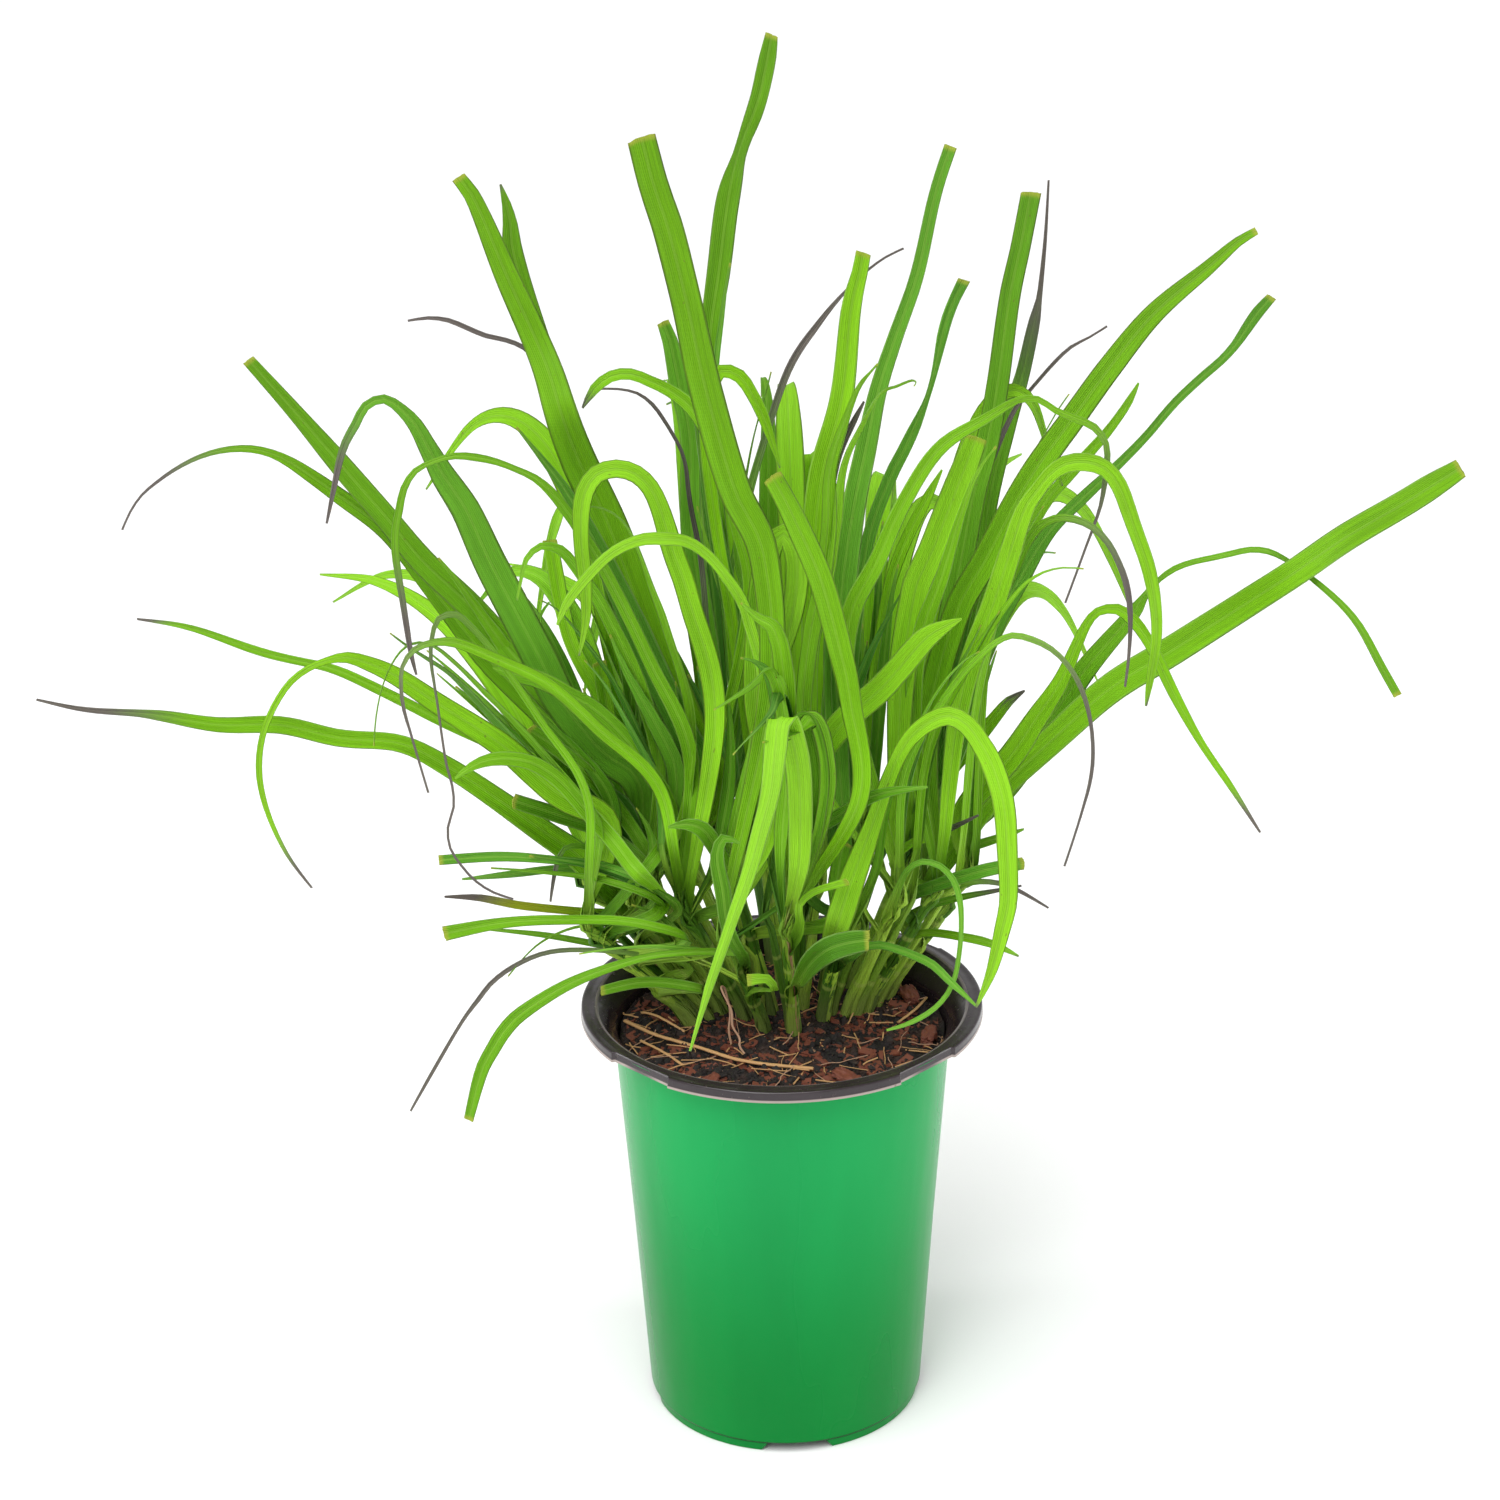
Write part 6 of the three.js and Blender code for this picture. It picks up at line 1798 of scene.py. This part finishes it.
def lumps_tree(name, kind, settings, tilt):
    """Strews a mesh node's lumps over the mix, bent: Least and Most hold their sizes."""
    graph, given = new_tree(name, SCATTER_SOCKETS)
    points = scattered_points(graph, given)
    sizes = random_vector(graph, given["Least"], given["Most"], SIZE_SEED)
    lump = graph.node(kind, settings)
    made = strewn(graph, given, points, lump, tilt, sizes, 380.0, 2.0)
    return end_tree(graph, made, given["Material"])


def fibres_tree(name):
    """Strews bent threads over the mix: Least and Most hold their length, thickness and lift."""
    graph, given = new_tree(name, SCATTER_SOCKETS)
    sizes = random_vector(graph, given["Least"], given["Most"], SIZE_SEED)
    length, girth, lift = (graph.part(sizes, axis) for axis in "XYZ")
    points = store(graph, scattered_points(graph, given), girth=girth)
    sockets = {"Geometry": points, "Offset": graph.joined(0.0, 0.0, lift)}
    points = graph.node("GeometryNodeSetPosition", sockets)
    ends = {"Start": (-0.5, 0, 0), "End": (0.5, 0, 0)}
    thread = graph.node("GeometryNodeCurvePrimitiveLine", ends, mode="POINTS")
    thread = graph.node("GeometryNodeResampleCurve", {"Curve": thread, "Count": FIBRE_POINTS})
    size = graph.joined(length, length, length)
    made = strewn(graph, given, points, thread, FIBRE_TILT, size, 90.0, 1.0, (1.0, 1.0, 0.3))
    made = sweep(graph, made, circle(graph, FIBRE_SIDES), *stored(graph, "girth"))
    return end_tree(graph, made, given["Material"], "girth")


class LemongrassMixOperator(bpy.types.Operator):
    """Makes the potting mix with its crumbs, bark flakes, fibres and fine roots"""

    bl_idname = "lemongrass.mix"
    bl_label = "Potting mix"

    def execute(self, context):
        mix = context.scene.lemongrass.mix
        soil = soil_material(mix)
        bark, straw, root = (fibrous_material(name) for name in ("bark", "straw", "root"))
        body = mix_object()
        body.data.materials.append(soil)
        ball = {"Radius": 1.0, "Subdivisions": 1}
        crumbs = lumps_tree("Strewn crumbs", "GeometryNodeMeshIcoSphere", ball, CRUMB_TILT)
        block = {"Size": (2.0, 2.0, 2.0), "Vertices X": 4, "Vertices Y": 3, "Vertices Z": 2}
        flakes = lumps_tree("Strewn flakes", "GeometryNodeMeshCube", block, FLAKE_TILT)
        fibres = fibres_tree("Strewn fibres")
        # What each kind is strewn by: its density, tree, material and slot.
        kinds = {
            "crumbs": (mix.crumbs, crumbs, soil, "potting_mix"),
            "lumps": (mix.lumps, crumbs, soil, "potting_mix"),
            "flakes": (mix.flakes, flakes, bark, "bark"),
            "fibres": (mix.fibres, fibres, straw, "straw"),
            "roots": (mix.roots, fibres, root, "root"),
        }
        for seed, (kind, (density, tree, material, slot)) in enumerate(kinds.items(), STREW_SEED):
            made = add_object(f"mix_{kind}", body.data.copy())
            least, most, bend, limit = STREWN[kind]
            values = {
                "Density": density,
                "Seed": seed,
                "Least": [value * MM for value in least],
                "Most": [value * MM for value in most],
                "Bend": bend * MM,
                "Limit": limit * MM,
                "Material": material,
            }
            run_tree(made, tree, values, smooth=tree is fibres)
            finish_piece(made, slot)
        finish_piece(body, "potting_mix", "potting_mix")
        return {"FINISHED"}


def rod_tree():
    """Sweeps a slightly flattened, uneven rod along a line."""
    sockets = {"Geometry": "Geometry", "Radius": "Float", "Flatness": "Float", "Material": "Material"}
    graph, given = new_tree("Rods", sockets)
    sockets = {"Geometry": circle(graph, ROD_SIDES), "Scale": graph.joined(1.0, given["Flatness"], 1.0)}
    section = graph.node("GeometryNodeTransform", sockets)
    line = smooth_curves(graph, given["Geometry"], ROD_STEPS)
    swept = sweep(graph, line, section, given["Radius"])
    swept = shaken(graph, swept, 300.0, 2.0, given["Radius"] * 0.7)
    return end_tree(graph, swept, given["Material"])


class LemongrassLitterOperator(bpy.types.Operator):
    """Makes the straws, the root loop and the bark chips that lie on the mix"""

    bl_idname = "lemongrass.litter"
    bl_label = "Litter"

    def execute(self, context):
        tree = rod_tree()
        for name, (radius, slot, points) in LITTER.items():
            path = [(x, y, mix_height(x, y) + radius + lift) for x, y, lift in points]
            edges = [(i, i + 1) for i in range(len(path) - 1)]
            made = mesh_object(name + "_fine", path, edges, [])
            values = {
                "Radius": radius * ROD_GIRTH[slot] * MM,
                "Flatness": ROD_FLATNESS[slot],
                "Material": fibrous_material(slot),
            }
            run_tree(made, tree, values)
            finish_piece(made, slot, name)
        for i, chip in enumerate(CHIPS):
            self.make_chip(i, *chip)
        return {"FINISHED"}

    def make_chip(self, i, x, y, turn, length, width, height):
        """A splintered flake of bark, thickest in its middle."""
        noise.seed_set(CHIP_SEED)
        work = bmesh.new()
        bmesh.ops.create_cube(work, size=1.0)
        bmesh.ops.subdivide_edges(work, edges=work.edges[:], cuts=CHIP_CUTS, use_grid_fill=True)
        place = Matrix.Translation((x, y, mix_height(x, y) + height / 2 + CHIP_LIFT))
        place @= Matrix.Rotation(math.radians(turn), 4, "Z")
        for vertex in work.verts:
            along, across, up = vertex.co
            across *= 1 - 0.3 * abs(2 * along) ** 1.4
            up *= 1 - 0.5 * (2 * across) ** 2
            point = Vector((along * length, across * width, up * height))
            layered = Vector((point.x * 0.25, point.y * 0.9, point.z * 1.4 + 9 * i))
            point += noise.noise_vector(layered) * 0.9 + noise.noise_vector(layered * 2.7) * 0.45
            vertex.co = (place @ point) * MM
        mesh = bpy.data.meshes.new(f"chip_{i + 1}")
        work.to_mesh(mesh)
        work.free()
        mesh.materials.append(fibrous_material("bark"))
        face_outwards(mesh)
        finish_piece(add_object(mesh.name, mesh), "bark", f"bark_chip_{i + 1}")


# Stage.

FLOOR_HALF_WIDTH = 7000.0
# Each lamp's name, place, width, height and power.
LAMPS = [
    ("left", (-1.5, -0.1, 0.6), 0.4, 1.6, 9.0),
    ("right", (1.5, 0.0, 0.6), 0.4, 1.6, 10.0),
    ("front", (-0.7, -1.9, 1.7), 0.9, 0.9, 12.0),
]
SUN_PLACE = (-0.4, -0.9, 2.4)
SUN_POWER = 2.3
SUN_ANGLE = math.radians(50)
AIM = (0.0, 0.0, 0.25)
CEILING_STRENGTH = 0.42
SENSOR_WIDTH = 36.0
FAR_CLIP = 50.0


def studio_world(stage):
    """White walls round the floor under a dimmer ceiling."""
    world = bpy.data.worlds.new("studio")
    world.use_nodes = True
    world.node_tree.nodes.clear()
    graph = Graph(world.node_tree)
    height = graph.part(graph.node("ShaderNodeTexCoord"), "Z")
    wall = graph.fall01(abs(height), 0.25, 0.6)
    strength = (CEILING_STRENGTH + wall * (1.0 - CEILING_STRENGTH)) * stage.light
    sockets = {"Color": (1.0, 1.0, 1.0, 1.0), "Strength": strength}
    graph.close("ShaderNodeOutputWorld", graph.node("ShaderNodeBackground", sockets))
    return world


class LemongrassStageOperator(bpy.types.Operator):
    """Makes the floor, the soft lamps and the camera"""

    bl_idname = "lemongrass.stage"
    bl_label = "Stage"

    def execute(self, context):
        stage = context.scene.lemongrass.stage
        corners = [(x, y, 0) for x, y in ((-1, -1), (1, -1), (1, 1), (-1, 1))]
        corners = [[FLOOR_HALF_WIDTH * c for c in corner] for corner in corners]
        floor = mesh_object("floor", corners, [], [(0, 1, 2, 3)])
        floor.data.materials.append(floor_material(stage))
        context.scene.world = studio_world(stage)
        for name, place, width, height, power in LAMPS:
            lamp = bpy.data.lights.new(name, "AREA")
            lamp.shape = "RECTANGLE"
            lamp.size, lamp.size_y = width, height
            lamp.energy = power * stage.light
            self.hang(lamp, place)
        sun = bpy.data.lights.new("overhead", "SUN")
        sun.angle = SUN_ANGLE
        sun.energy = SUN_POWER * stage.light
        self.hang(sun, SUN_PLACE)
        camera = bpy.data.cameras.new("camera")
        camera.lens = stage.lens
        camera.sensor_width = SENSOR_WIDTH
        camera.clip_end = FAR_CLIP
        eye = add_object("camera", camera)
        tilt = Matrix.Rotation(math.pi / 2 - CAMERA_PITCH, 4, "X")
        roll = Matrix.Rotation(CAMERA_ROLL, 4, "Z")
        eye.matrix_world = Matrix.Translation(Vector(CAMERA * MM)) @ tilt @ roll
        context.scene.camera = eye
        context.scene.view_settings.view_transform = "Standard"
        return {"FINISHED"}

    def hang(self, lamp, place):
        """Hangs a lamp at a place and turns it towards the plant."""
        holder = add_object(lamp.name, lamp)
        holder.location = place
        aim = Vector(AIM) - Vector(place)
        holder.rotation_euler = aim.to_track_quat("-Z", "Y").to_euler()


class LemongrassPanel(bpy.types.Panel):
    """The steps that dress the plant, and their settings"""

    bl_idname = "VIEW3D_PT_lemongrass"
    bl_label = "Lemongrass"
    bl_space_type = "VIEW_3D"
    bl_region_type = "UI"
    bl_category = "Lemongrass"

    def draw(self, context):
        settings = context.scene.lemongrass
        for operator, group in zip(OPERATORS, GROUPS):
            box = self.layout.box()
            box.operator(operator.bl_idname)
            if group:
                values = getattr(settings, group)
                for name in values.__annotations__:
                    box.prop(values, name)


OPERATORS = (
    LemongrassStageOperator,
    LemongrassPotOperator,
    LemongrassMixOperator,
    LemongrassLitterOperator,
    LemongrassStemsOperator,
)
GROUPS = ("stage", "pot", "mix", None, "leaf")
CLASSES = (
    LemongrassLeafSettings,
    LemongrassPotSettings,
    LemongrassMixSettings,
    LemongrassStageSettings,
    LemongrassSettings,
    *OPERATORS,
    LemongrassPanel,
)


def register():
    for item in CLASSES:
        bpy.utils.register_class(item)
    bpy.types.Scene.lemongrass = PointerProperty(type=LemongrassSettings)


def unregister():
    del bpy.types.Scene.lemongrass
    for item in reversed(CLASSES):
        bpy.utils.unregister_class(item)


def main():
    register()
    bpy.ops.lemongrass.stage()
    bpy.ops.lemongrass.pot()
    bpy.ops.lemongrass.mix()
    bpy.ops.lemongrass.litter()
    bpy.ops.lemongrass.stems()
    bpy.context.view_layer.update()


if __name__ == "__main__":
    main()
